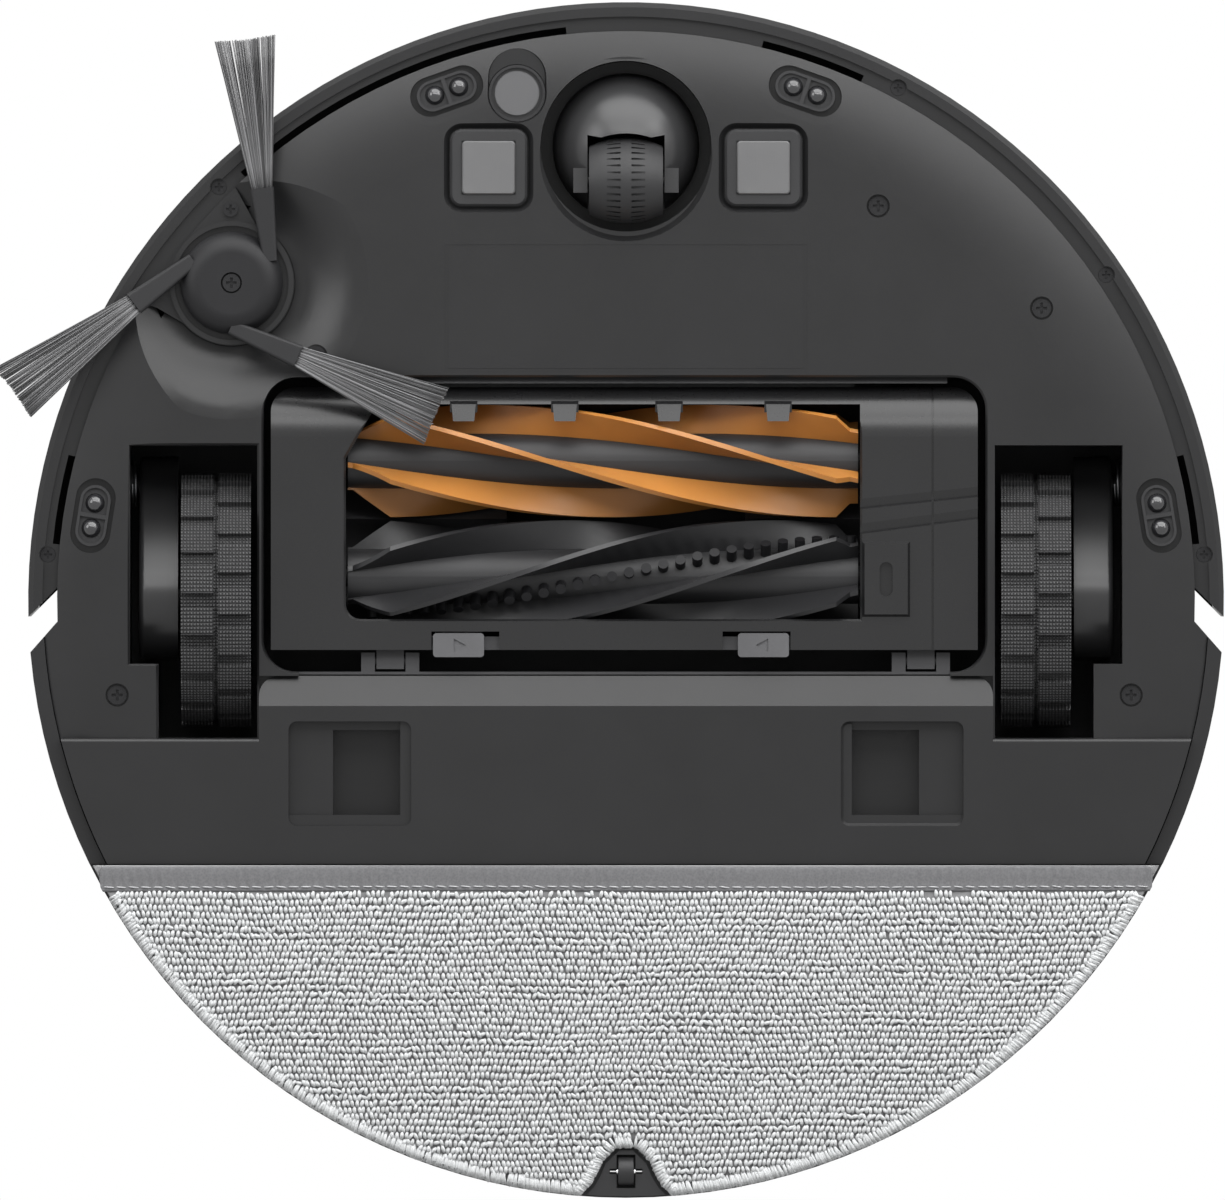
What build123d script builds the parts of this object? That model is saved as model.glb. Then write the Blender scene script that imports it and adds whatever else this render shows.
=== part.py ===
from build123d import *
import os
from math import cos, hypot, pi, radians, sin, sqrt, tan

# Sizes are in millimetres. The floor is z = 0 and the robot's front looks along +Y.

# Whole body
body_r = 175.0
rim_step = 8.5
front_r = body_r - rim_step
rear_step = 4.5
plate_rear_r = body_r - rear_step
shoulder_y = -6.4
shoulder_angle = 48.7
base_z = 9.5
plate_t = 2.5
rim_chamfer = 0.6
dome_run = 24.5
dome_start_r = front_r - dome_run
dome_rise = 4.6
deck_z = 80.0
deck_t = 2.5
shell_wall = 2.4
front_wall_inset = 8.5
front_wall_r = front_r - front_wall_inset
shell_bottom_z = 12.5
deck_edge_round = 2.0
seat_gap = 0.2
move_gap = 0.5
bore_gap = 0.05

# Bumper
bumper_wall = 2.6
bumper_top_z = deck_z - deck_t - 0.7
bumper_lip_z = 13.5
bumper_lip_w = 4.2
bumper_end_x = front_r
bumper_end_y = 3.6
bumper_end_angle = 45.0
bumper_travel = 4.0
flange_t = 2.2
flange_lap = 2.9
flange_inner_r = front_r - flange_lap
bumper_screw_inset = 5.3
bumper_screw_r = body_r - bumper_screw_inset
bumper_screw_angles = (4.5, 45.4, 118.0, 145.9, 175.5)
flange_slot_inset = 6.4
flange_slot_r = body_r - flange_slot_inset
flange_slots = ((5.6, 14.6), (48.0, 84.0), (103.8, 114.4), (165.4, 174.4))
window_z0 = 36.0
window_z1 = 60.0
window_half_angle = 32.0
window_t = 1.0
small_head_r = 2.2
small_head_h = 1.1
small_shank_r = 1.2

# Caster
caster_inset = 42.2
caster_y = body_r - caster_inset
caster_well_r = 25.0
caster_well_top = 40.0
caster_well_wall = 1.2
caster_bevel = 2.6
caster_trail = 10.0
caster_wheel_r = 12.5
caster_wheel_edge_r = 10.0
caster_wheel_half_w = 10.8
caster_cheek_x = 15.4
caster_dome_r = 21.5
caster_dome_z = 27.0
caster_axle_r = 1.5
caster_stem_r = 3.0

# Charging contacts
contact_x = 40.2
contact_inset = 48.5
contact_y = body_r - contact_inset
contact_side = 15.6
contact_t = 1.6
contact_frame_side = 22.6
contact_frame_round = 3.5
contact_frame_t = 3.0
contact_proud = 0.8
contact_bevel = 1.8

# Carpet sensor
carpet_x = 31.9
carpet_inset = 26.7
carpet_y = body_r - carpet_inset
carpet_disc_r = 6.4
carpet_ring_r = 8.3
carpet_recess_half_w = 8.8
carpet_recess_reach = 5.0

# Cliff sensors
cliff_inset = 8.6
cliff_ring_r = front_r - cliff_inset
cliff_angles = (9.0, 70.6, 109.4, 171.0)
cliff_recess_l = 22.0
cliff_recess_w = 11.7
cliff_body_l = 18.0
cliff_body_w = 9.0
cliff_floor_z = 13.9
cliff_roof_t = 0.9
cliff_lens_r = 2.7
cliff_lens_pitch = 7.4

# Plate screws
plate_screws = ((-73.8, 115.3), (-121.6, 85.4), (148.9, -27.8), (-147.8, -27.8), (90.7, 71.4))
screw_bore_r = 3.4
screw_head_r = 2.8
screw_depth = 3.0

# Battery panel outline on the plate
panel_half_w = 53.0
panel_y0 = 66.8
panel_y1 = 104.0
panel_depth = 0.15

# Side brush
side_inset = 18.4
side_angle = 38.8
side_x = (front_r - side_inset) * cos(radians(side_angle))
side_y = (front_r - side_inset) * sin(radians(side_angle))
side_cup_r = 18.1
side_cup_wall = 1.4
side_cup_z = 9.8
side_hub_r = 15.0
side_hub_z = 3.6
side_hub_top_z = 10.4
side_shaft_r = 3.0
side_dish_r = 40.0
side_dish_depth = 6.0
side_mount_z = 12.6
side_mount_t = 2.2
side_mount_screw = (side_x + 0.3, side_y + 21.6)
tuft_first_angle = 83.5
tuft_count = 3
tuft_offset = 12.0
sleeve_start = 5.0
sleeve_end = 26.5
sleeve_w = 7.0
sleeve_t = 3.4
sleeve_z0 = 6.2
sleeve_z1 = 5.0
tuft_reach = 70.0
tuft_tip_z = 0.9
tuft_root_w = 6.0
tuft_tip_w = 17.0
tuft_root_h = 2.2
tuft_tip_h = 1.0
strand_w = 0.22
strand_columns = 22
strand_rows = 5

# Brush bay and floating head
bay_x1 = 106.1
bay_x0 = -105.2
bay_y1 = 65.2
bay_y0 = -21.0
bay_round = 9.5
bay_rib_x1 = 95.0
bay_rib_x0 = -94.0
bay_rib_room = 1.1
bay_wall = 0.8
bay_top_z = 46.0
head_x1 = 103.9
head_x0 = -102.9
head_y1 = 62.3
head_y0 = -14.6
head_top_z = 42.0
head_wall = 2.0
cover_z = 8.5
cover_t = 2.0
cover_slope_run = 13.0
cover_slope_rise = 5.5
cover_nose = 1.5
cover_nose_rise = 2.5
cover_corner_r = 7.2
cover_front_h = 12.0
mouth_x1 = 82.0
mouth_x0 = -68.5
mouth_y1 = 57.3
mouth_y0 = -5.6
mouth_cut_x = 7.7
mouth_cut_y = 13.5
mouth_round = 4.5
comb_teeth_x = (47.5, 17.9, -12.6, -44.5)
comb_tooth_root_w = 8.0
comb_tooth_tip_w = 6.0
comb_tooth_tip_y = 52.3
head_seam_x = -89.7
seam_w = 0.6
groove_w = 2.7
groove_depth = 0.8
seam_depth = 0.7
tab_w = 14.0
tab_l = 22.0
tab_y = 6.1
tab_proud = 1.2
tab_slot_w = 3.8
tab_slot_l = 10.0
head_pivot_y = -17.8
head_pivot_z = 15.0
head_pivot_r = 2.0
head_pivots_x = (69.0, -86.3)
head_ear_half_w = 4.0
latch_l = 14.9
latch_w = 7.0
latch_t = 2.4
latches_x = (49.0, -40.2)
latch_y = -13.2
latch_travel = 4.0
latch_proud = 0.6

# Rollers
roller_front_y = 40.7
roller_rear_y = 6.9
roller_z = 20.5
roller_r = 16.4
roller_core_r = 8.0
roller_x1 = 81.4
roller_x0 = -67.9
roller_full_x0 = -61.5
roller_step_r = 12.5
roller_full_x1 = 69.0
roller_low_x1 = 80.0
roller_low_r = 8.6
roller_shaft_r = 3.0
roller_tunnel_r = 17.6
blade_t = 1.5
blade_count = 5
blade_pitch = 328.0
rear_blade_pitch = 300.0
blade_low_x = 23.1
rear_blade_low_x = 33.6
bump_low_x = 4.1
bump_count = 29
bump_pitch = 5.0
bump_r = 1.5
bump_h = 4.0
drive_end = 8.0
motor_r = 9.0
motor_l = 28.0

# Drive wheels
wheel_x = 120.0
wheel_w = 20.4
wheel_r = 37.2
tyre_inner_r = 30.5
tread_depth = 1.8
tread_groove = 1.3
tread_blocks = 19
tread_gap = 4.0
well_x0 = 107.9
well_x1 = 145.3
well_step_x = 136.9
well_y1 = 45.3
well_step_y = -18.7
well_y0 = -40.4
well_top_z = 75.2
well_wall = 0.9
arm_x0 = 131.2
arm_x1 = 142.6
arm_pivot_y = 34.0
arm_pivot_z = 46.0
arm_pivot_r = 3.0
arm_eye_r = 8.0
arm_drum_r = 17.5
axle_r = 4.0
spring_wire_r = 0.4
spring_turns = 1.5

# Rear block and mop
block_half_w = 107.4
block_y1 = -22.2
block_z = 8.0
block_top_z = 15.0
block_bevel_run = 8.8
block_bevel_rise = 3.4
block_corner = 5.9
wing_y1 = -40.4
wing_edge_round = 1.2
pocket_x = 80.8
pocket_w = 35.9
pocket_l = 30.6
pocket_y = -50.8
pocket_round = 2.5
pocket_ledge_w = 13.0
pocket_ledge_depth = 4.5
pocket_lip_w = 3.2
pocket_lip_depth = 1.6
pocket_cup_z = 25.0
pocket_cup_wall = 1.2
mop_y1 = -77.2
mop_inset = 0.6
mop_r = body_r - mop_inset
cloth_t = 4.0
hem_w = 7.6
hem_t = 2.4
mop_plate_t = 4.6
notch_half_widths = (14.0, 10.5, 8.5, 7.0, 3.0)
notch_depths = (-0.1, 3.4, 6.7, 10.4, 14.3)
notch_ys = [depth - mop_r for depth in notch_depths]
guide_inset = 7.3
guide_y = guide_inset - mop_r
guide_r = 4.4
guide_w = 4.7
guide_z = 4.9
guide_pin_r = 0.75
guide_pin_half_l = 4.7

# Inside
battery_half_w = 50.0
battery_y0 = 70.0
battery_y1 = 104.0
battery_h = 36.0
board_half_w = 60.0
board_t = 1.6
bin_half_w = 72.0
bin_y0 = 2.0
bin_y1 = 88.0
bin_z0 = 55.0
bin_z1 = 73.0
bin_wall = 1.8
bin_rails_y = ((4.0, 10.0), (42.0, 82.0))
bin_rail_t = 1.6
bin_rail_foot = 5.0
inlet_w = 70.0
inlet_l = 18.0
inlet_y = 24.0
filter_t = 9.0
fan_x = 0.0
fan_y = -58.0
fan_r = 34.0
fan_h = 34.0
fan_wall = 2.0
impeller_r = 29.0
impeller_blades = 11
tank_y1 = -94.0
tank_inset = 11.0
tank_r = body_r - tank_inset
tank_z1 = 58.0
tank_wall = 2.0
tank_port_r = 7.0
tank_port_x = 70.0
tank_feed_r = 2.0
tank_feed_x = -40.0
tank_bore_inset = 20.0

# Top side
turret_x = 0.0
turret_y = -52.0
turret_r = 46.0
turret_base_h = 4.0
turret_cap_z = 92.0
turret_top_z = 96.5
turret_post_r = 4.0
turret_post_ring_r = 40.0
turret_posts = 4
turret_pin_r = 1.6
cap_travel = 1.5
lidar_r = 33.0
lidar_h = 7.4
lidar_shaft_r = 4.0
lid_half_w = 78.0
lid_y0 = 4.0
lid_y1 = 96.0
lid_t = 2.5
lid_round = 12.0
lid_ledge = 3.0
lid_barrel_r = 1.6
lid_barrel_half_l = 50.0
lid_pin_r = 0.8
lid_pin_l = 5.0
lid_swing_room = 1.0
button_r = 7.0
button_x = 18.0
button_y = 122.0
button_proud = 0.6
button_travel = 1.0
button_flange = 1.2


def block(x0, x1, y0, y1, z0, z1, mode=Mode.ADD):
    """A box between two corners."""
    with Locations(((x0 + x1) / 2, (y0 + y1) / 2, (z0 + z1) / 2)):
        Box(abs(x1 - x0), abs(y1 - y0), abs(z1 - z0), mode=mode)


def post(x, y, z0, z1, r, mode=Mode.ADD):
    """An upright cylinder."""
    with Locations((x, y, (z0 + z1) / 2)):
        Cylinder(r, z1 - z0, mode=mode)


def rod(x0, x1, y, z, r, mode=Mode.ADD):
    """A cylinder along X."""
    with Locations(Location(((x0 + x1) / 2, y, z), (0, 90, 0))):
        Cylinder(r, abs(x1 - x0), mode=mode)


def body_outline(front, rear, drop=0.0):
    """Plan of the body: a smaller round front, a larger round rear and slanted shoulders."""
    reach = 2 * body_r
    low = shoulder_y - drop
    end_y = low - (reach - front_r) * tan(radians(shoulder_angle))
    Polygon(
        (front_r, low),
        (reach, end_y),
        (reach, end_y - reach),
        (-reach, end_y - reach),
        (-reach, end_y),
        (-front_r, low),
        align=None,
    )
    Circle(rear, mode=Mode.INTERSECT)
    Circle(front)


def dome_section(lift, height):
    """Half section above the domed underside, raised by lift."""
    z0 = base_z + lift
    rim = plate_rear_r + plate_t
    with BuildLine() as section:
        flat = Line((0, z0), (dome_start_r, z0))
        rise = TangentArc(flat @ 1, (rim, z0 + dome_rise), tangent=(1, 0))
        Polyline(rise @ 1, (rim, z0 + height), (0, z0 + height), (0, z0))
    make_face(section.edges())


def dome_z(r):
    """Height of the domed underside at radius r from the middle."""
    run = plate_rear_r + plate_t - dome_start_r
    arc_r = (run * run + dome_rise * dome_rise) / (2 * dome_rise)
    out = max(0.0, r - dome_start_r)
    return base_z + arc_r - sqrt(arc_r * arc_r - out * out)


def polar(r, angle):
    """Plan point at radius r and angle in degrees from +X."""
    return (r * cos(radians(angle)), r * sin(radians(angle)))


def in_front_of_bumper_ends(back=0.0):
    """Plan area ahead of the bumper's slanted ends, moved back."""
    slope = tan(radians(bumper_end_angle))
    reach = 2 * body_r
    end_y = bumper_end_y - back
    low_y = end_y - (reach - bumper_end_x) * slope
    inner_x = bumper_end_x - 20
    inner_y = end_y + 20 * slope
    Polygon(
        (inner_x, inner_y),
        (reach, low_y),
        (reach, reach),
        (-reach, reach),
        (-reach, low_y),
        (-inner_x, inner_y),
        align=None,
    )


def well_plan(side, grow=0.0):
    """Plan of one wheel well, with its step at the rear outer corner."""
    Polygon(
        (side * (well_x0 - grow), well_y0 - grow),
        (side * (well_step_x + grow), well_y0 - grow),
        (side * (well_step_x + grow), well_step_y - grow),
        (side * (well_x1 + grow), well_step_y - grow),
        (side * (well_x1 + grow), well_y1 + grow),
        (side * (well_x0 - grow), well_y1 + grow),
        align=None,
    )


def bay_plan(grow=0.0):
    """Plan of the brush bay, rounded at its front corners."""
    width = bay_x1 - bay_x0 + 2 * grow
    length = bay_y1 - bay_y0 + 2 * grow
    with Locations(((bay_x0 + bay_x1) / 2, (bay_y0 + bay_y1) / 2)):
        RectangleRounded(width, length, bay_round + grow)


def side_mount_plan(shrink=0.0):
    """Plan of the side brush mount: a disc and a wedge that runs out to the rim."""
    r = side_cup_r + move_gap - shrink
    with Locations((side_x, side_y)):
        Circle(r)
    Polygon(
        (side_x - 0.39 * r, side_y + 0.92 * r),
        (side_x - 1.7 + shrink, side_y + 27.2),
        (side_x + 10.0, side_y + 45.0),
        (side_x + 50.0, side_y + 2.0),
        (side_x + 21.6, side_y - 7.6 + shrink),
        (side_x + 0.74 * r, side_y - 0.66 * r),
        align=None,
    )
    Circle(front_r - shrink, mode=Mode.INTERSECT)


def cliff_planes(z):
    """One plane for each cliff sensor, with its x axis along the rim."""
    planes = []
    for angle in cliff_angles:
        x, y = polar(cliff_ring_r, angle)
        along = (-sin(radians(angle)), cos(radians(angle)), 0)
        planes.append(Plane(origin=(x, y, z), x_dir=along, z_dir=(0, 0, 1)))
    return planes


def tuft_plane(index):
    """A plane whose x axis runs along one tuft, from the hub's axis at floor height."""
    angle = radians(tuft_first_angle + index * 360.0 / tuft_count)
    return Plane(origin=(side_x, side_y, 0), x_dir=(cos(angle), sin(angle), 0), z_dir=(0, 0, 1))


# Side brush dish, as a cutting shape and as the thicker plate above it
dish_plane = Plane(origin=(side_x, side_y, 0), x_dir=(1, 0, 0), z_dir=(0, -1, 0))


def dish_section(lift, low):
    """Half section below the dish surface, raised by lift."""
    top = base_z + side_dish_depth + lift
    with BuildLine() as section:
        Line((0, top), (side_cup_r, top))
        Spline(
            (side_cup_r, top),
            (side_dish_r, base_z + lift),
            tangents=((1, 0), (1, 0)),
        )
        Polyline((side_dish_r, base_z + lift), (side_dish_r, low), (0, low), (0, top))
    make_face(section.edges())


# Base plate
with BuildPart() as base_plate:
    with BuildSketch(Plane.XY.offset(base_z)):
        body_outline(front_r, plate_rear_r)
    extrude(amount=block_top_z + plate_t - base_z)
    with BuildSketch(Plane.XZ):
        dome_section(0.0, 60.0)
    revolve(axis=Axis.Z, mode=Mode.INTERSECT)
    with BuildSketch(Plane.XZ):
        dome_section(plate_t, 60.0)
    revolve(axis=Axis.Z, mode=Mode.SUBTRACT)
    # Thicker ground above the dish, the sensors and the front screws, and the wall at the rear step
    with BuildSketch(dish_plane):
        dish_section(plate_t, base_z)
    revolve(axis=Axis((side_x, side_y, 0), (0, 0, 1)))
    for plane in cliff_planes(base_z):
        with BuildSketch(plane):
            SlotOverall(cliff_recess_l + 2 * plate_t, cliff_recess_w + 2 * plate_t)
        extrude(amount=cliff_floor_z + cliff_roof_t - base_z)
    block(-body_r, body_r, wing_y1, wing_y1 + plate_t, base_z, block_top_z + plate_t)
    with BuildSketch(Plane.XY.offset(base_z)):
        body_outline(front_r, plate_rear_r)
    extrude(amount=deck_z, mode=Mode.INTERSECT)
    with BuildSketch(Plane.XZ):
        dome_section(0.0, 60.0)
    revolve(axis=Axis.Z, mode=Mode.INTERSECT)
    for x, y in plate_screws:
        post(x, y, base_z + plate_t / 2, base_z + screw_depth + plate_t, screw_bore_r + 1.5)
    # Caster well
    post(0, caster_y, base_z + plate_t / 2, caster_well_top + plate_t, caster_well_r + caster_well_wall)
    post(0, caster_y, 0, caster_well_top, caster_well_r, Mode.SUBTRACT)
    post(0, caster_y, caster_well_top - 4, caster_well_top + plate_t + 8, caster_stem_r + 4)
    post(0, caster_y, 0, caster_well_top + 2 * deck_z, caster_stem_r + bore_gap, Mode.SUBTRACT)
    # A sloped crescent behind the caster well
    with BuildSketch(Plane.XY.offset(base_z)):
        with Locations((0, caster_y - caster_bevel)):
            Circle(caster_well_r + 0.3)
    extrude(amount=caster_bevel / 2, taper=50, mode=Mode.SUBTRACT)
    # The rear steps up over the mop
    block(-body_r, body_r, -body_r, wing_y1, 0, block_top_z, Mode.SUBTRACT)
    with BuildSketch(Plane.XY.offset(block_top_z)):
        Circle(plate_rear_r)
        with Locations((0, wing_y1 - body_r)):
            Rectangle(2 * body_r, 2 * body_r, mode=Mode.INTERSECT)
        with Locations((0, (wing_y1 + block_y1) / 2)):
            Rectangle(2 * block_half_w, block_y1 - wing_y1 + 2)
        with Locations((0, block_y1 + body_r)):
            Rectangle(2 * body_r, 2 * body_r, mode=Mode.SUBTRACT)
    extrude(amount=plate_t)
    block(-block_half_w, block_half_w, wing_y1 - 1, block_y1, 0, block_top_z, Mode.SUBTRACT)
    # Cups above the pockets of the rear block
    for side in (1, -1):
        cup_x0 = side * (pocket_x - pocket_w / 2 + pocket_lip_w)
        cup_x1 = side * (pocket_x + pocket_w / 2 - pocket_ledge_w)
        cup_y0 = pocket_y - pocket_l / 2 + pocket_lip_w
        cup_y1 = pocket_y + pocket_l / 2 - pocket_round
        block(
            cup_x0 - side * pocket_cup_wall,
            cup_x1 + side * pocket_cup_wall,
            cup_y0 - pocket_cup_wall,
            cup_y1 + pocket_cup_wall,
            block_top_z + plate_t / 2,
            pocket_cup_z + pocket_cup_wall,
        )
        block(cup_x0, cup_x1, cup_y0, cup_y1, 0, pocket_cup_z, Mode.SUBTRACT)
    # Room for the bumper's flange behind and above the rim
    with BuildSketch(Plane.XY.offset(dome_z(front_r) + plate_t)):
        in_front_of_bumper_ends(bumper_travel + 1)
        Circle(flange_inner_r - bumper_travel - move_gap, mode=Mode.SUBTRACT)
    extrude(amount=deck_z, mode=Mode.SUBTRACT)
    # Openings
    for side in (1, -1):
        with BuildSketch(Plane.XY):
            well_plan(side)
        extrude(amount=deck_z, mode=Mode.SUBTRACT)
        with BuildSketch(Plane.XY.offset(base_z)):
            well_plan(side, rim_chamfer)
        extrude(amount=rim_chamfer, taper=45, mode=Mode.SUBTRACT)
    with BuildSketch(Plane.XY):
        bay_plan()
    extrude(amount=deck_z, mode=Mode.SUBTRACT)
    with BuildSketch(Plane.XY.offset(base_z)):
        bay_plan(rim_chamfer)
    extrude(amount=rim_chamfer, taper=45, mode=Mode.SUBTRACT)
    bay_corner = bay_round + bay_wall
    block(bay_x0 + bay_corner, bay_x1 - bay_corner, block_y1, bay_y0 + 1, 0, block_top_z, Mode.SUBTRACT)
    with BuildSketch(dish_plane):
        dish_section(0.0, 0.0)
    revolve(axis=Axis((side_x, side_y, 0), (0, 0, 1)), mode=Mode.SUBTRACT)
    with BuildSketch(Plane.XY):
        side_mount_plan()
    extrude(amount=deck_z, mode=Mode.SUBTRACT)
    # Sensor and contact recesses
    for plane in cliff_planes(0.0):
        with BuildSketch(plane):
            SlotOverall(cliff_recess_l, cliff_recess_w)
        extrude(amount=cliff_floor_z, mode=Mode.SUBTRACT)
    for side in (1, -1):
        with BuildSketch(Plane.XY.offset(base_z)):
            with Locations((side * contact_x, contact_y)):
                RectangleRounded(
                    contact_frame_side + 2 * contact_bevel,
                    contact_frame_side + 2 * contact_bevel,
                    contact_frame_round + contact_bevel,
                )
        extrude(amount=contact_bevel, taper=40, mode=Mode.SUBTRACT)
        with BuildSketch(Plane.XY):
            with Locations((side * contact_x, contact_y)):
                RectangleRounded(
                    contact_frame_side + 2 * seat_gap,
                    contact_frame_side + 2 * seat_gap,
                    contact_frame_round + seat_gap,
                )
        extrude(amount=deck_z, mode=Mode.SUBTRACT)
    with BuildSketch(Plane.XY.offset(base_z)):
        with Locations((carpet_x, carpet_y + carpet_recess_reach / 2)):
            SlotCenterToCenter(carpet_recess_reach, 2 * carpet_recess_half_w, rotation=90)
    extrude(amount=plate_t, taper=15, mode=Mode.SUBTRACT)
    post(carpet_x, carpet_y, 0, deck_z, carpet_ring_r + seat_gap, Mode.SUBTRACT)
    for x, y in plate_screws:
        post(x, y, 0, base_z + screw_depth, screw_bore_r, Mode.SUBTRACT)
    block(-panel_half_w, panel_half_w, panel_y0, panel_y1, 0, base_z + panel_depth, Mode.SUBTRACT)
    block(
        -panel_half_w + 1,
        panel_half_w - 1,
        panel_y0 + 1,
        panel_y1 - 1,
        base_z,
        base_z + panel_depth,
    )

# Rear block with its wings and two pockets
with BuildPart() as rear_block:
    with BuildSketch(Plane.XY.offset(block_z)):
        Circle(plate_rear_r - seat_gap)
        with Locations((0, (wing_y1 + mop_y1) / 2)):
            Rectangle(2 * body_r, wing_y1 - mop_y1, mode=Mode.INTERSECT)
        with Locations((0, (block_y1 + mop_y1) / 2)):
            Rectangle(2 * block_half_w, block_y1 - mop_y1)
    extrude(amount=block_top_z - block_z)
    front_corners = rear_block.edges().filter_by(Axis.Z).group_by(Axis.Y)[-1]
    fillet(front_corners, radius=block_corner)
    wing_fronts = rear_block.edges().group_by(Axis.Z)[0].filter_by(Axis.X).group_by(Axis.Y)[1]
    fillet(wing_fronts, radius=wing_edge_round)
    with BuildSketch(Plane.YZ.offset(-block_half_w - 1)):
        Polygon(
            (block_y1 + 1, block_z - 1),
            (block_y1 - block_bevel_run, block_z - 1),
            (block_y1 - block_bevel_run, block_z),
            (block_y1, block_z + block_bevel_rise),
            (block_y1 + 1, block_z + block_bevel_rise),
            align=None,
        )
    extrude(amount=2 * block_half_w + 2, mode=Mode.SUBTRACT)
    # Each pocket has a shallow ledge, a deep well and a lip along its inner and rear edges
    for side in (1, -1):
        outer_x = side * (pocket_x + pocket_w / 2)
        inner_x = side * (pocket_x - pocket_w / 2)
        front_y = pocket_y + pocket_l / 2
        rear_y = pocket_y - pocket_l / 2
        with BuildSketch(Plane.XY.offset(block_z)):
            with Locations((side * pocket_x, pocket_y)):
                RectangleRounded(pocket_w, pocket_l, pocket_round)
        extrude(amount=pocket_ledge_depth, mode=Mode.SUBTRACT)
        block(
            outer_x - side * pocket_ledge_w,
            inner_x + side * pocket_lip_w,
            rear_y + pocket_lip_w,
            front_y - pocket_round,
            block_z,
            block_top_z + 1,
            Mode.SUBTRACT,
        )
        lip_z = block_z + pocket_lip_depth
        block(inner_x, inner_x + side * pocket_lip_w, rear_y, front_y, lip_z, block_top_z)
        block(inner_x, outer_x, rear_y, rear_y + pocket_lip_w, lip_z, block_top_z)
    lip_edges = rear_block.faces().filter_by(Axis.Z).group_by(Axis.Z)[1].edges()
    chamfer(lip_edges.filter_by(Axis.Y).group_by(Axis.X)[2], length=0.8)

# Body shell: the wall behind the bumper and around the rear
with BuildPart() as body_shell:
    with BuildSketch(Plane.XY.offset(shell_bottom_z)):
        body_outline(front_wall_r, body_r)
    extrude(amount=deck_z - deck_t - seat_gap - shell_bottom_z)
    with BuildSketch(Plane.XY.offset(block_top_z + 2 * plate_t)):
        body_outline(front_wall_r - shell_wall, body_r - shell_wall, shell_wall)
    extrude(amount=deck_z, mode=Mode.SUBTRACT)
    with BuildSketch(Plane.XY):
        body_outline(front_wall_r - shell_wall, plate_rear_r + seat_gap, shell_wall)
    extrude(amount=block_top_z + 2 * plate_t, mode=Mode.SUBTRACT)
    # The wall stands on the plate
    with BuildSketch(Plane.XZ):
        rim = plate_rear_r + seat_gap
        seat_z = base_z + plate_t + seat_gap
        with BuildLine():
            Polyline(
                (rim, dome_z(rim) - base_z + seat_z),
                (rim, 0),
                (0, 0),
                (0, seat_z),
                (dome_start_r, seat_z),
            )
            TangentArc((dome_start_r, seat_z), (rim, dome_z(rim) - base_z + seat_z), tangent=(1, 0))
        make_face()
    revolve(axis=Axis.Z, mode=Mode.SUBTRACT)
    # Clear of the lifted mop, the caster well and the side brush mount
    block(-body_r, body_r, -body_r, mop_y1, 0, block_top_z + move_gap, Mode.SUBTRACT)
    post(
        0,
        caster_y,
        0,
        caster_well_top + plate_t + 1,
        caster_well_r + caster_well_wall + seat_gap,
        Mode.SUBTRACT,
    )
    with BuildSketch(Plane.XY):
        side_mount_plan()
    extrude(amount=side_mount_z + side_mount_t + seat_gap, mode=Mode.SUBTRACT)
    dish_top_z = base_z + side_dish_depth + plate_t + seat_gap
    post(side_x, side_y, 0, dish_top_z, side_dish_r + 1, Mode.SUBTRACT)
    post(carpet_x, carpet_y, 0, base_z + 12, carpet_ring_r + seat_gap, Mode.SUBTRACT)
    for plane in cliff_planes(0.0):
        with BuildSketch(plane):
            SlotOverall(cliff_recess_l + 3 * plate_t, cliff_recess_w + 3 * plate_t)
        extrude(amount=cliff_floor_z + cliff_roof_t + seat_gap, mode=Mode.SUBTRACT)
    # Air outlet slots at the rear
    for i in range(-9, 10):
        slot_x, slot_y = polar(body_r, -90 + 2.0 * i)
        with Locations(Location((slot_x, slot_y, 52), (0, 0, -90 + 2.0 * i))):
            Box(4 * shell_wall, 3.0, 16.0, mode=Mode.SUBTRACT)

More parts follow.
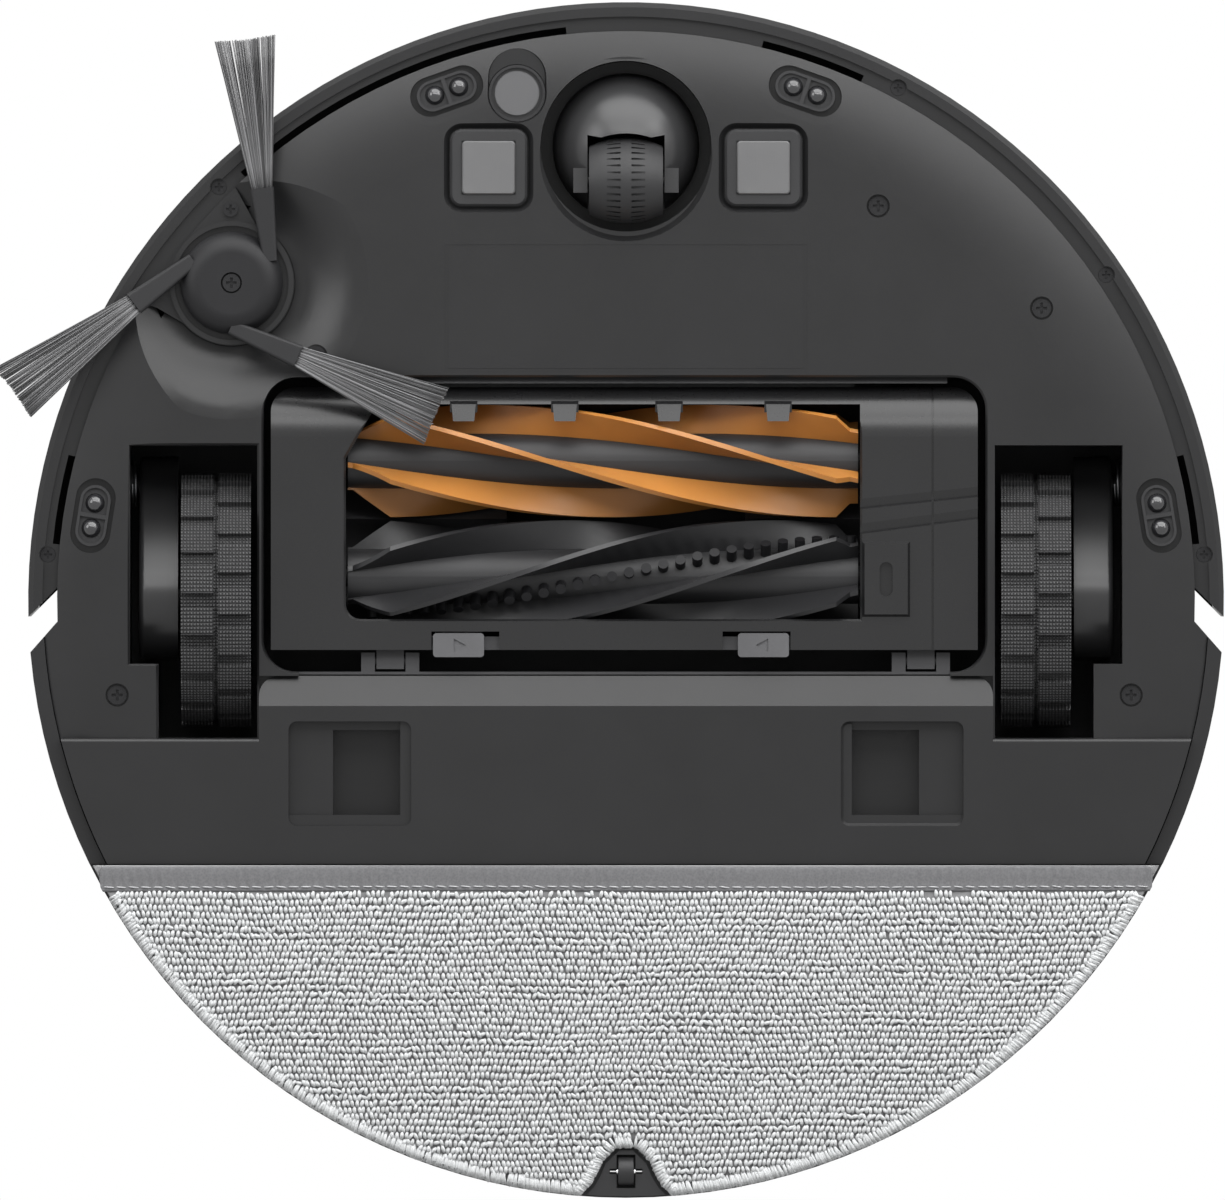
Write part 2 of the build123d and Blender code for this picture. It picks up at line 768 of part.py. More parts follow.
# Top deck with the lid bay, the turret seat and the button holes
with BuildPart() as top_deck:
    with BuildSketch(Plane.XY.offset(deck_z - deck_t)):
        in_front_of_bumper_ends()
        body_outline(front_r, body_r)
    extrude(amount=deck_t)
    # The deck's round edge is rounded off on top
    with BuildSketch(Plane.XZ):
        with BuildLine():
            rim_low = (body_r, deck_z - deck_edge_round)
            rim_high = (body_r - deck_edge_round, deck_z)
            Polyline(rim_high, (0, deck_z), (0, 0), (body_r, 0), rim_low)
            RadiusArc(rim_low, rim_high, -deck_edge_round)
        make_face()
    revolve(axis=Axis.Z, mode=Mode.INTERSECT)
    # Seat for the hinge barrel, with a bore at each end for the lid's pins
    lid_axis_y = lid_y0 - lid_barrel_r
    lid_axis_z = deck_z - lid_barrel_r
    barrel_bed = lid_barrel_half_l + move_gap
    rod(
        -barrel_bed - 3 - lid_pin_l,
        barrel_bed + 3 + lid_pin_l,
        lid_axis_y,
        lid_axis_z - 1.4,
        lid_barrel_r + 1.4,
    )
    # Rails that carry the dust bin
    rail_z = bin_z0 - seat_gap - bin_rail_t
    for side in (1, -1):
        for rail_y0, rail_y1 in bin_rails_y:
            wall_x = side * (bin_half_w + move_gap)
            foot_x = side * (bin_half_w - bin_rail_foot)
            block(wall_x, side * lid_half_w, rail_y0, rail_y1, rail_z, deck_z - deck_t)
            block(foot_x, wall_x, rail_y0, rail_y1, rail_z, rail_z + bin_rail_t)
    # A ledge under the lid
    with BuildSketch(Plane.XY.offset(deck_z - deck_t)):
        with Locations((0, (lid_y0 + lid_y1) / 2)):
            RectangleRounded(
                2 * (lid_half_w + lid_ledge),
                lid_y1 - lid_y0 + 2 * lid_ledge,
                lid_round + lid_ledge,
            )
    extrude(amount=-deck_t + 0.9)
    with BuildSketch(Plane.XY.offset(deck_z - lid_t - seat_gap)):
        with Locations((0, (lid_y0 + lid_y1) / 2)):
            RectangleRounded(
                2 * (lid_half_w + move_gap),
                lid_y1 - lid_y0 + 2 * move_gap,
                lid_round + move_gap,
            )
    extrude(amount=deck_t + 1, mode=Mode.SUBTRACT)
    with BuildSketch(Plane.XY.offset(deck_z - 2 * deck_t)):
        with Locations((0, (lid_y0 + lid_y1) / 2)):
            RectangleRounded(
                2 * (lid_half_w - lid_ledge),
                lid_y1 - lid_y0 - 2 * lid_ledge,
                lid_round - lid_ledge,
            )
    extrude(amount=2 * deck_z, mode=Mode.SUBTRACT)
    rod(-barrel_bed, barrel_bed, lid_axis_y, lid_axis_z, lid_barrel_r + move_gap, Mode.SUBTRACT)
    block(
        -barrel_bed,
        barrel_bed,
        lid_axis_y,
        lid_y0 + lid_ledge,
        lid_axis_z - lid_barrel_r - move_gap,
        2 * deck_z,
        Mode.SUBTRACT,
    )
    # The lid's rear edge swings through a sloped groove
    lid_bed = lid_half_w + move_gap
    with BuildSketch(Plane.YZ.offset(-lid_bed)):
        Polygon(
            (lid_axis_y - 0.2, 2 * deck_z),
            (lid_axis_y - 0.2, deck_z - 0.4),
            (lid_y0, deck_z - 1.2),
            (lid_y0 + lid_swing_room, deck_z - 1.2),
            (lid_y0 + lid_swing_room, 2 * deck_z),
            align=None,
        )
    extrude(amount=2 * lid_bed, mode=Mode.SUBTRACT)
    pin_bed = lid_barrel_half_l + lid_pin_l + move_gap
    rod(-pin_bed, pin_bed, lid_axis_y, lid_axis_z, lid_pin_r + bore_gap, Mode.SUBTRACT)
    post(turret_x, turret_y, 0, 2 * deck_z, lidar_r - 8, Mode.SUBTRACT)
    for side in (1, -1):
        post(side * button_x, button_y, 0, 2 * deck_z, button_r + move_gap / 2, Mode.SUBTRACT)

# Wheel housings, closed on top
with BuildPart() as wheel_housings:
    for side in (1, -1):
        with BuildSketch(Plane.XY.offset(block_top_z + plate_t + seat_gap)):
            well_plan(side, well_wall)
        extrude(amount=well_top_z + well_wall - block_top_z - plate_t - seat_gap)
        with BuildSketch(Plane.XY):
            well_plan(side)
        extrude(amount=well_top_z, mode=Mode.SUBTRACT)
        # Bored boss for the arm's pivot pin
        rod(
            side * (arm_x1 + move_gap + 1),
            side * (well_x1 + well_wall),
            arm_pivot_y,
            arm_pivot_z,
            arm_pivot_r + 2.5,
        )
        rod(
            side * arm_x1,
            side * (well_x1 + 2 * well_wall),
            arm_pivot_y,
            arm_pivot_z,
            arm_pivot_r,
            Mode.SUBTRACT,
        )

# Brush bay walls between the wheel housings, with lugs for the head's pivots
with BuildPart() as brush_bay:
    with BuildSketch(Plane.XY.offset(base_z + plate_t + seat_gap)):
        bay_plan(bay_wall)
    extrude(amount=bay_top_z - base_z - plate_t - seat_gap)
    with BuildSketch(Plane.XY):
        bay_plan()
    extrude(amount=deck_z, mode=Mode.SUBTRACT)
    # A sloped rib across the front of the bay
    rib_z = base_z + plate_t + seat_gap
    rib_y = head_y1 + bay_rib_room
    with BuildSketch(Plane.YZ.offset(bay_rib_x0)):
        Polygon(
            (bay_y1 + bay_wall / 2, rib_z + 3),
            (bay_y1 + bay_wall / 2, rib_z + 0.9),
            (rib_y, rib_z),
            (rib_y, rib_z + 3),
            align=None,
        )
    extrude(amount=bay_rib_x1 - bay_rib_x0)
    post(
        side_x,
        side_y,
        0,
        base_z + side_dish_depth + plate_t + seat_gap,
        side_dish_r + 1,
        Mode.SUBTRACT,
    )
    for x in head_pivots_x:
        for side in (1, -1):
            lug_x = x + side * (head_ear_half_w + move_gap + 2)
            block(
                lug_x - 2,
                lug_x + 2,
                bay_y0 - bay_wall / 2,
                head_pivot_y + 2.4,
                head_pivot_z - 2.8,
                head_pivot_z + 5,
            )
            rod(lug_x - 3, lug_x + 3, head_pivot_y, head_pivot_z, head_pivot_r, Mode.SUBTRACT)

# Battery pack of eight cells in a case
with BuildPart() as battery_pack:
    battery_z = base_z + plate_t + seat_gap
    block(-battery_half_w, battery_half_w, battery_y0, battery_y1, battery_z, battery_z + battery_h)
    fillet(battery_pack.edges().filter_by(Axis.Z), radius=3)
    block(
        -12,
        12,
        battery_y1 - 4,
        battery_y1 + 1,
        battery_z + battery_h / 2,
        battery_z + battery_h,
        Mode.SUBTRACT,
    )

# Main board on the battery pack, with its parts
with BuildPart() as main_board:
    board_z = battery_z + battery_h + seat_gap
    block(-board_half_w, board_half_w, battery_y0 + 2, battery_y1 + 1, board_z, board_z + board_t)
    block(-44, -28, battery_y1 - 14, battery_y1 - 2, board_z + board_t, board_z + board_t + 2)
    block(-16, 4, battery_y1 - 12, battery_y1 - 2, board_z + board_t, board_z + board_t + 1.6)
    block(20, 30, battery_y1 - 10, battery_y1 - 3, board_z + board_t, board_z + board_t + 2.4)

# Dust bin with a front-to-back inlet in its floor and a window for the filter
with BuildPart() as dust_bin:
    block(-bin_half_w, bin_half_w, bin_y0, bin_y1, bin_z0, bin_z1)
    fillet(dust_bin.edges().filter_by(Axis.Z), radius=5)
    offset(amount=-bin_wall, openings=dust_bin.faces().sort_by(Axis.Z)[-1])
    block(
        -inlet_w / 2,
        inlet_w / 2,
        inlet_y - inlet_l / 2,
        inlet_y + inlet_l / 2,
        bin_z0 - 1,
        bin_z0 + bin_wall + 1,
        Mode.SUBTRACT,
    )
    block(-34, 34, bin_y0 - 1, bin_y0 + bin_wall + 1, bin_z0 + 3, bin_z1 - 3, Mode.SUBTRACT)

# Filter frame with pleats, standing inside the bin's rear wall
with BuildPart() as bin_filter:
    filter_y = bin_y0 + bin_wall + 0.1
    block(-40, 40, filter_y, filter_y + filter_t, bin_z0 + bin_wall + 0.1, bin_z1 - 1.5)
    for i in range(24):
        x = -36.8 + 3.2 * i
        block(
            x - 0.8,
            x + 0.8,
            filter_y + 2,
            filter_y + filter_t + 1,
            bin_z0 + 4,
            bin_z1 - 3.5,
            Mode.SUBTRACT,
        )

# Fan housing, a cup with an inlet eye and an outlet to the rear
with BuildPart() as fan_housing:
    fan_z = block_top_z + plate_t + seat_gap
    post(fan_x, fan_y, fan_z, fan_z + fan_h, fan_r)
    block(fan_x - 18, fan_x + 18, fan_y - fan_r - 1, fan_y, fan_z, fan_z + fan_h - 8)
    post(fan_x, fan_y, fan_z + fan_wall, fan_z + fan_h - fan_wall, fan_r - fan_wall, Mode.SUBTRACT)
    block(
        fan_x - 16,
        fan_x + 16,
        fan_y - fan_r - 2,
        fan_y,
        fan_z + fan_wall,
        fan_z + fan_h - 10,
        Mode.SUBTRACT,
    )
    post(fan_x, fan_y, fan_z, fan_z + fan_h + 1, 16, Mode.SUBTRACT)
    post(fan_x, fan_y, fan_z, fan_z + 12, 11)
    block(fan_x - 18, fan_x + 18, fan_y - 2.5, fan_y + 2.5, fan_z, fan_z + fan_wall)
    post(fan_x, fan_y, fan_z + 2, fan_z + 13, 2 + bore_gap, Mode.SUBTRACT)

# Fan impeller: a back plate, a hub with its shaft and backward blades
with BuildPart() as fan_impeller:
    impeller_z = fan_z + 12 + move_gap
    post(fan_x, fan_y, impeller_z, impeller_z + 1.6, impeller_r)
    post(fan_x, fan_y, impeller_z, impeller_z + 9, 6)
    post(fan_x, fan_y, fan_z + 2 + move_gap, impeller_z + 1, 2)
    for i in range(impeller_blades):
        angle = i * 360.0 / impeller_blades
        x, y = polar(impeller_r * 0.66, angle)
        with Locations(Location((fan_x + x, fan_y + y, impeller_z + 5.8), (0, 0, angle + 32))):
            Box(impeller_r * 0.52, 1.0, 9.0)

# Water tank: a crescent with a filler port and a feed bore
with BuildPart() as water_tank:
    tank_z = block_top_z + plate_t + seat_gap
    with BuildSketch(Plane.XY.offset(tank_z)):
        Circle(tank_r)
        with Locations((0, tank_y1 - body_r)):
            Rectangle(2 * body_r, 2 * body_r, mode=Mode.INTERSECT)
    extrude(amount=tank_z1 - tank_z)
    with BuildSketch(Plane.XY.offset(tank_z + tank_wall)):
        Circle(tank_r - tank_wall)
        with Locations((0, tank_y1 - tank_wall - body_r)):
            Rectangle(2 * body_r, 2 * body_r, mode=Mode.INTERSECT)
    extrude(amount=tank_z1 - tank_z - 2 * tank_wall, mode=Mode.SUBTRACT)
    bore_y = tank_y1 - tank_bore_inset
    post(tank_port_x, bore_y, tank_z1 - 2 * tank_wall, tank_z1 + 1, tank_port_r, Mode.SUBTRACT)
    post(tank_feed_x, bore_y, tank_z - 1, tank_z + 2 * tank_wall, tank_feed_r, Mode.SUBTRACT)

# Charging contacts and their frames
with BuildPart() as contact_frames:
    for side in (1, -1):
        with BuildSketch(Plane.XY.offset(base_z)):
            with Locations((side * contact_x, contact_y)):
                RectangleRounded(contact_frame_side, contact_frame_side, contact_frame_round)
        extrude(amount=contact_frame_t + 0.6)
    chamfer(contact_frames.faces().sort_by(Axis.Z)[:2].edges(), length=0.7)
    for side in (1, -1):
        x0 = side * contact_x - contact_side / 2 - 0.1
        x1 = side * contact_x + contact_side / 2 + 0.1
        y0 = contact_y - contact_side / 2 - 0.1
        y1 = contact_y + contact_side / 2 + 0.1
        block(x0, x1, y0, y1, base_z - 1, base_z + contact_t - contact_proud, Mode.SUBTRACT)
        block(x0 - 4.5, x1 + 4.5, y0 - 4.5, y1 + 4.5, base_z + plate_t + 0.4, base_z + plate_t + 1.6)

with BuildPart() as contact_plates:
    for side in (1, -1):
        x0 = side * contact_x - contact_side / 2
        y0 = contact_y - contact_side / 2
        block(
            x0,
            x0 + contact_side,
            y0,
            y0 + contact_side,
            base_z - contact_proud,
            base_z + contact_t - contact_proud,
        )
    fillet(contact_plates.edges().filter_by(Axis.Z), radius=1.2)
    chamfer(contact_plates.faces().sort_by(Axis.Z)[:2].edges(), length=0.4)

# Carpet sensor: a disc in a ring
with BuildPart() as carpet_sensor:
    carpet_z = dome_z(hypot(carpet_x, carpet_y)) + 1.6
    post(carpet_x, carpet_y, carpet_z, carpet_z + 5, carpet_ring_r)
    post(carpet_x, carpet_y, carpet_z - 1, carpet_z + 1.2, carpet_ring_r - 0.8, Mode.SUBTRACT)
    post(carpet_x, carpet_y, carpet_z + 0.3, carpet_z + 2, carpet_disc_r)

# Cliff sensor bodies and their lens domes
with BuildPart() as cliff_sensor_bodies:
    for plane in cliff_planes(cliff_floor_z - 2.2):
        with BuildSketch(plane):
            SlotOverall(cliff_body_l, cliff_body_w)
            with Locations((cliff_lens_pitch / 2, 0), (-cliff_lens_pitch / 2, 0)):
                Circle(cliff_lens_r + 0.1, mode=Mode.SUBTRACT)
        extrude(amount=2.2)
        with BuildSketch(plane):
            SlotOverall(cliff_body_l, cliff_body_w)
            SlotOverall(cliff_body_l - 1.6, cliff_body_w - 1.6, mode=Mode.SUBTRACT)
            Rectangle(1.2, cliff_body_w - 1.0)
        extrude(amount=-1.0)

with BuildPart() as cliff_sensor_lenses:
    for plane in cliff_planes(cliff_floor_z - 1.8):
        with Locations(plane):
            with Locations((cliff_lens_pitch / 2, 0, 0), (-cliff_lens_pitch / 2, 0, 0)):
                Sphere(cliff_lens_r)
        with BuildSketch(Plane(plane.origin + Vector(0, 0, 1.8), x_dir=plane.x_dir, z_dir=(0, 0, 1))):
            Rectangle(3 * cliff_lens_pitch, 3 * cliff_lens_r)
        extrude(amount=cliff_lens_r, mode=Mode.SUBTRACT)

# Plate screws, one group
with BuildPart() as chassis_screws:
    for x, y in plate_screws:
        post(x, y, base_z + screw_depth - 1.6, base_z + screw_depth, screw_head_r)
        with Locations((x, y, base_z + screw_depth - 1.6)):
            Box(3.2, 0.8, 1.6, mode=Mode.SUBTRACT)
            Box(0.8, 3.2, 1.6, mode=Mode.SUBTRACT)
    x, y = side_mount_screw
    post(x, y, side_mount_z - 1.4, side_mount_z, small_head_r)
    with Locations((x, y, side_mount_z - 1.4)):
        Box(2.6, 0.7, 1.4, mode=Mode.SUBTRACT)
        Box(0.7, 2.6, 1.4, mode=Mode.SUBTRACT)

# Side brush gearbox: the mount plate, the cup rim and the case above
with BuildPart() as side_brush_gearbox:
    with BuildSketch(Plane.XY.offset(side_mount_z)):
        side_mount_plan(seat_gap)
    extrude(amount=side_mount_t)
    case_z = side_mount_z + side_mount_t
    case_low_z = base_z + side_dish_depth + plate_t + seat_gap
    inner_x = side_x - 22
    inner_y = side_y - 8
    post(side_x, side_y, side_mount_z, case_low_z + 1, 6.5)
    with BuildSketch(Plane.XY.offset(case_low_z)):
        with Locations((side_x, side_y)):
            Circle(6.5)
        with Locations((inner_x, inner_y)):
            Circle(12.5)
        make_hull()
    extrude(amount=18)
    post(inner_x, inner_y, case_low_z + 18, case_low_z + 34, 10)
    post(side_x, side_y, side_cup_z, side_mount_z, side_cup_r)
    post(side_x, side_y, side_cup_z - 1, side_mount_z - 0.4, side_cup_r - side_cup_wall, Mode.SUBTRACT)
    post(side_x, side_y, side_hub_top_z + move_gap, side_mount_z, side_shaft_r + 2.5)
    post(side_x, side_y, 0, case_z + 12, side_shaft_r + bore_gap, Mode.SUBTRACT)

# Side brush sleeves, one for each tuft
with BuildPart() as side_brush_sleeves:
    for i in range(tuft_count):
        plane = tuft_plane(i)
        for along, wide, high, z in (
            (sleeve_start, sleeve_w * 0.6, sleeve_t * 0.8, sleeve_z0),
            (sleeve_end, sleeve_w, sleeve_t, sleeve_z1),
        ):
            middle = plane.origin + plane.x_dir * along + plane.y_dir * tuft_offset + Vector(0, 0, z)
            with BuildSketch(Plane(middle, x_dir=plane.y_dir, z_dir=plane.x_dir)):
                RectangleRounded(wide, high, high * 0.3)
        loft()

# Side brush hub with its shaft
with BuildPart() as side_brush_hub:
    with BuildSketch(dish_plane):
        with BuildLine():
            crown = Line((0, side_hub_z), (side_hub_r - 6, side_hub_z))
            brow = TangentArc(crown @ 1, (side_hub_r, side_hub_z + 4.6), tangent=(1, 0))
            Polyline(brow @ 1, (side_hub_r, side_hub_top_z), (0, side_hub_top_z), (0, side_hub_z))
        make_face()
    revolve(axis=Axis((side_x, side_y, 0), (0, 0, 1)))
    post(side_x, side_y, side_hub_top_z - 1, case_z + 12 - move_gap, side_shaft_r)
    post(side_x, side_y, 0, side_hub_z + 2.2, small_head_r + 0.9, Mode.SUBTRACT)
    add(side_brush_sleeves.part, mode=Mode.SUBTRACT)

with BuildPart() as side_brush_screw:
    post(side_x, side_y, side_hub_z + 0.5, side_hub_z + 2.2, small_head_r + 0.4)
    with Locations((side_x, side_y, side_hub_z + 0.5)):
        Box(3.0, 0.8, 1.6, mode=Mode.SUBTRACT)
        Box(0.8, 3.0, 1.6, mode=Mode.SUBTRACT)

# Side brush bristles: straight strands that fan out and drop to the floor
with BuildPart() as side_brush_bristles:
    strands = []
    for i in range(tuft_count):
        plane = tuft_plane(i)
        root = plane.from_local_coords(Vector(sleeve_end, tuft_offset, sleeve_z1))
        root_plane = Plane(root, x_dir=plane.y_dir, z_dir=plane.x_dir)
        with BuildSketch(root_plane):
            Rectangle(tuft_root_w + 0.6, tuft_root_h + 0.6)
        extrude(amount=1.0)
        drop = tuft_tip_z - sleeve_z1
        for column in range(strand_columns):
            across = column / (strand_columns - 1) - 0.5
            for row in range(strand_rows):
                up = row / (strand_rows - 1) - 0.5
                start = Vector(across * tuft_root_w, up * tuft_root_h, 0.5)
                end = Vector(across * tuft_tip_w, up * tuft_tip_h + drop, tuft_reach - sleeve_end)
                at = root_plane.from_local_coords(start)
                to = root_plane.from_local_coords(end)
                face = Face.make_rect(
                    strand_w,
                    strand_w,
                    Plane(at, x_dir=plane.y_dir, z_dir=plane.x_dir),
                )
                strands.append(Solid.extrude(face, to - at))
    add(strands)

# Bumper shell with a lip below and screw bosses inside
flange_z = dome_z(front_r) + plate_t + move_gap
with BuildPart() as bumper_shell:
    with BuildSketch(Plane.XZ):
        inner = body_r - bumper_wall
        Polygon(
            (body_r - 1.5, bumper_lip_z),
            (body_r - bumper_lip_w, bumper_lip_z),
            (body_r - bumper_lip_w, flange_z),
            (inner, flange_z),
            (inner, bumper_top_z),
            (body_r - 1.5, bumper_top_z),
            (body_r, bumper_top_z - 1.5),
            (body_r, bumper_lip_z + 1.5),
            align=None,
        )
    revolve(axis=Axis.Z)
    for angle in bumper_screw_angles:
        x, y = polar(bumper_screw_r, angle)
        post(x, y, flange_z + flange_t, flange_z + flange_t + 8, 3.4)
    Cylinder(body_r, 4 * deck_z, mode=Mode.INTERSECT)
    for angle in bumper_screw_angles:
        x, y = polar(bumper_screw_r, angle)
        post(x, y, 0, flange_z, small_head_r + 0.4, Mode.SUBTRACT)
        post(x, y, 0, flange_z + flange_t + 6.2, small_shank_r + 0.02, Mode.SUBTRACT)
    with BuildSketch(Plane.XY):
        in_front_of_bumper_ends()
    extrude(amount=deck_z, mode=Mode.INTERSECT)
    with BuildSketch(Plane.XY.offset(window_z0)):
        Polygon(
            (0, 0),
            polar(2 * body_r, 90 - window_half_angle),
            polar(2 * body_r, 90 + window_half_angle),
            align=None,
        )
        Circle(body_r - window_t, mode=Mode.SUBTRACT)
    extrude(amount=window_z1 - window_z0, mode=Mode.SUBTRACT)

with BuildPart() as bumper_window:
    with BuildSketch(Plane.XY.offset(window_z0 + 0.1)):
        half = window_half_angle - 0.05
        Polygon((0, 0), polar(2 * body_r, 90 - half), polar(2 * body_r, 90 + half), align=None)
        Circle(body_r, mode=Mode.INTERSECT)
        Circle(body_r - window_t, mode=Mode.SUBTRACT)
    extrude(amount=window_z1 - window_z0 - 0.2)

# Bumper flange that slides over the plate's rim
with BuildPart() as bumper_flange:
    with BuildSketch(Plane.XY.offset(flange_z)):
        Circle(body_r - bumper_wall)
        Circle(flange_inner_r, mode=Mode.SUBTRACT)
        for angle in bumper_screw_angles:
            with Locations(polar(bumper_screw_r, angle)):
                Circle(small_shank_r + 0.02, mode=Mode.SUBTRACT)
    extrude(amount=flange_t)
    for angle in bumper_screw_angles:
        x, y = polar(bumper_screw_r, angle)
        post(x, y, flange_z - 1, flange_z + small_head_h, small_head_r + 0.1, Mode.SUBTRACT)
    with BuildSketch(Plane.XY):
        in_front_of_bumper_ends()
    extrude(amount=deck_z, mode=Mode.INTERSECT)
    for start, end in flange_slots:
        with BuildSketch(Plane.XY):
            Polygon((0, 0), polar(2 * body_r, start), polar(2 * body_r, end), align=None)
            Circle(flange_slot_r, mode=Mode.INTERSECT)
        extrude(amount=deck_z, mode=Mode.SUBTRACT)

with BuildPart() as bumper_screws:
    for angle in bumper_screw_angles:
        x, y = polar(bumper_screw_r, angle)
        post(x, y, flange_z, flange_z + small_head_h, small_head_r)
        post(x, y, flange_z + small_head_h / 2, flange_z + flange_t + 6, small_shank_r)
        with Locations((x, y, flange_z)):
            Box(2.4, 0.6, 1.2, mode=Mode.SUBTRACT)
            Box(0.6, 2.4, 1.2, mode=Mode.SUBTRACT)

# Caster: a swivel dome with its stem, and cheeks for the wheel's axle
caster_axle_y = caster_y - caster_trail
with BuildPart() as caster_housing:
    with Locations((0, caster_y, caster_dome_z)):
        Sphere(caster_dome_r)
    post(0, caster_y, caster_dome_z + 3, caster_well_top - 4 - move_gap, caster_dome_r - 3)
    block(
        -50,
        50,
        caster_y - 50,
        caster_y + 50,
        caster_well_top - 4 - move_gap,
        2 * deck_z,
        Mode.SUBTRACT,
    )
    for side in (1, -1):
        x = side * (caster_wheel_half_w + move_gap)
        block(
            x,
            side * caster_cheek_x,
            caster_axle_y - 3.6,
            caster_axle_y + 3.6,
            caster_wheel_r - 2.6,
            caster_dome_z,
        )
    hood = caster_wheel_r + 1.2
    slot_half = caster_wheel_half_w + move_gap
    rod(-slot_half, slot_half, caster_axle_y, caster_wheel_r, hood, Mode.SUBTRACT)
    block(-slot_half, slot_half, caster_y - 40, caster_axle_y, 0, caster_wheel_r + hood, Mode.SUBTRACT)
    arch_y = caster_axle_y + caster_wheel_edge_r + 0.7
    with BuildSketch(Plane.XY.offset(caster_dome_z - caster_dome_r - 1)):
        with BuildLine():
            Polyline(
                (-slot_half, arch_y),
                (-slot_half, caster_y - 40),
                (slot_half, caster_y - 40),
                (slot_half, arch_y),
            )
            ThreePointArc((slot_half, arch_y), (0, caster_axle_y + hood), (-slot_half, arch_y))
        make_face()
    extrude(amount=caster_wheel_r - caster_dome_z + caster_dome_r + 1, mode=Mode.SUBTRACT)
    rod(-20, 20, caster_axle_y, caster_wheel_r, caster_axle_r, Mode.SUBTRACT)
    post(0, caster_y, caster_dome_z + 2, caster_well_top + plate_t + 6, caster_stem_r)

with BuildPart() as caster_axle:
    rod(-caster_cheek_x, caster_cheek_x, caster_axle_y, caster_wheel_r, caster_axle_r)

# Caster wheel: a barrel with two columns of tread slits
with BuildPart() as caster_wheel:
    with BuildSketch(Plane.XY.offset(caster_wheel_r)):
        with BuildLine():
            Polyline(
                (-caster_wheel_half_w, caster_axle_y + caster_wheel_edge_r),
                (-caster_wheel_half_w, caster_axle_y + caster_axle_r + bore_gap),
                (caster_wheel_half_w, caster_axle_y + caster_axle_r + bore_gap),
                (caster_wheel_half_w, caster_axle_y + caster_wheel_edge_r),
            )
            ThreePointArc(
                (caster_wheel_half_w, caster_axle_y + caster_wheel_edge_r),
                (0, caster_axle_y + caster_wheel_r),
                (-caster_wheel_half_w, caster_axle_y + caster_wheel_edge_r),
            )
        make_face()
    revolve(axis=Axis((0, caster_axle_y, caster_wheel_r), (1, 0, 0)))
    wheel_face = Plane(origin=(0, caster_axle_y, caster_wheel_r), x_dir=(0, 1, 0), z_dir=(1, 0, 0))
    for x in (-3.6, 3.6):
        with Locations(Plane(wheel_face.origin + Vector(x, 0, 0), x_dir=(0, 1, 0), z_dir=(1, 0, 0))):
            with PolarLocations(caster_wheel_r, 36):
                Box(1.6, 0.7, 4.0, mode=Mode.SUBTRACT)


# Drive wheels: arm with a gearbox drum, hub with an axle, tyre with staggered tread blocks
def drive_arm(side):
    with BuildPart() as arm:
        x_low = min(side * arm_x0, side * arm_x1)
        with BuildSketch(Plane.YZ.offset(x_low)):
            with Locations((0, wheel_r)):
                Circle(arm_drum_r)
            with Locations((arm_pivot_y, arm_pivot_z)):
                Circle(arm_eye_r)
            make_hull()
        extrude(amount=arm_x1 - arm_x0)
        fillet(arm.faces().sort_by(Axis.X)[0 if side < 0 else -1].edges(), radius=1.5)
        rod(
            side * (arm_x0 - 1),
            side * (arm_x1 + 1),
            arm_pivot_y,
            arm_pivot_z,
            arm_pivot_r + bore_gap,
            Mode.SUBTRACT,
        )
        rod(side * (arm_x0 - 1), side * (arm_x1 - 2), 0, wheel_r, axle_r + bore_gap, Mode.SUBTRACT)
    return arm


def wheel_hub(side):
    with BuildPart() as hub:
        outer = side * (wheel_x + wheel_w / 2)
        inner = side * (wheel_x - wheel_w / 2 + 1)
        rod(inner, outer, 0, wheel_r, tyre_inner_r)
        rod(inner - side * 1, inner + side * 7, 0, wheel_r, tyre_inner_r - 5, Mode.SUBTRACT)
        rod(inner, outer, 0, wheel_r, axle_r + 3)
        rod(outer - side * 1, side * (arm_x1 - 2 - move_gap), 0, wheel_r, axle_r)
    return hub


def tyre(side):
    with BuildPart() as ring:
        low = side * wheel_x - wheel_w / 2
        with BuildSketch(Plane.YZ.offset(low)):
            with Locations((0, wheel_r)):
                Circle(wheel_r - tread_depth)
                Circle(tyre_inner_r, mode=Mode.SUBTRACT)
        extrude(amount=wheel_w)
        column_w = (wheel_w - tread_groove) / 2
        inner_shift = 180.0 / tread_blocks
        shifts = (inner_shift, 0.0) if side > 0 else (0.0, inner_shift)
        for start, shift in zip((low, low + column_w + tread_groove), shifts):
            with BuildSketch(Plane(origin=(start, 0, wheel_r), x_dir=(0, 1, 0), z_dir=(1, 0, 0))):
                Circle(wheel_r)
                Circle(wheel_r - tread_depth - 0.5, mode=Mode.SUBTRACT)
                with PolarLocations(wheel_r, tread_blocks, start_angle=shift - 90):
                    Rectangle(4 * tread_depth, tread_gap, mode=Mode.SUBTRACT)
            extrude(amount=column_w)
    return ring


drive_arm_right = drive_arm(1)
drive_arm_left = drive_arm(-1)
wheel_hub_right = wheel_hub(1)
wheel_hub_left = wheel_hub(-1)
tyre_right = tyre(1)
tyre_left = tyre(-1)

# Pivot pins of the swing arms and of the brush head, one group
with BuildPart() as pivot_pins:
    for side in (1, -1):
        rod(side * arm_x0, side * (well_x1 + well_wall), arm_pivot_y, arm_pivot_z, arm_pivot_r)
    for x in head_pivots_x:
        reach = head_ear_half_w + move_gap + 4
        rod(x - reach, x + reach, head_pivot_y, head_pivot_z, head_pivot_r)

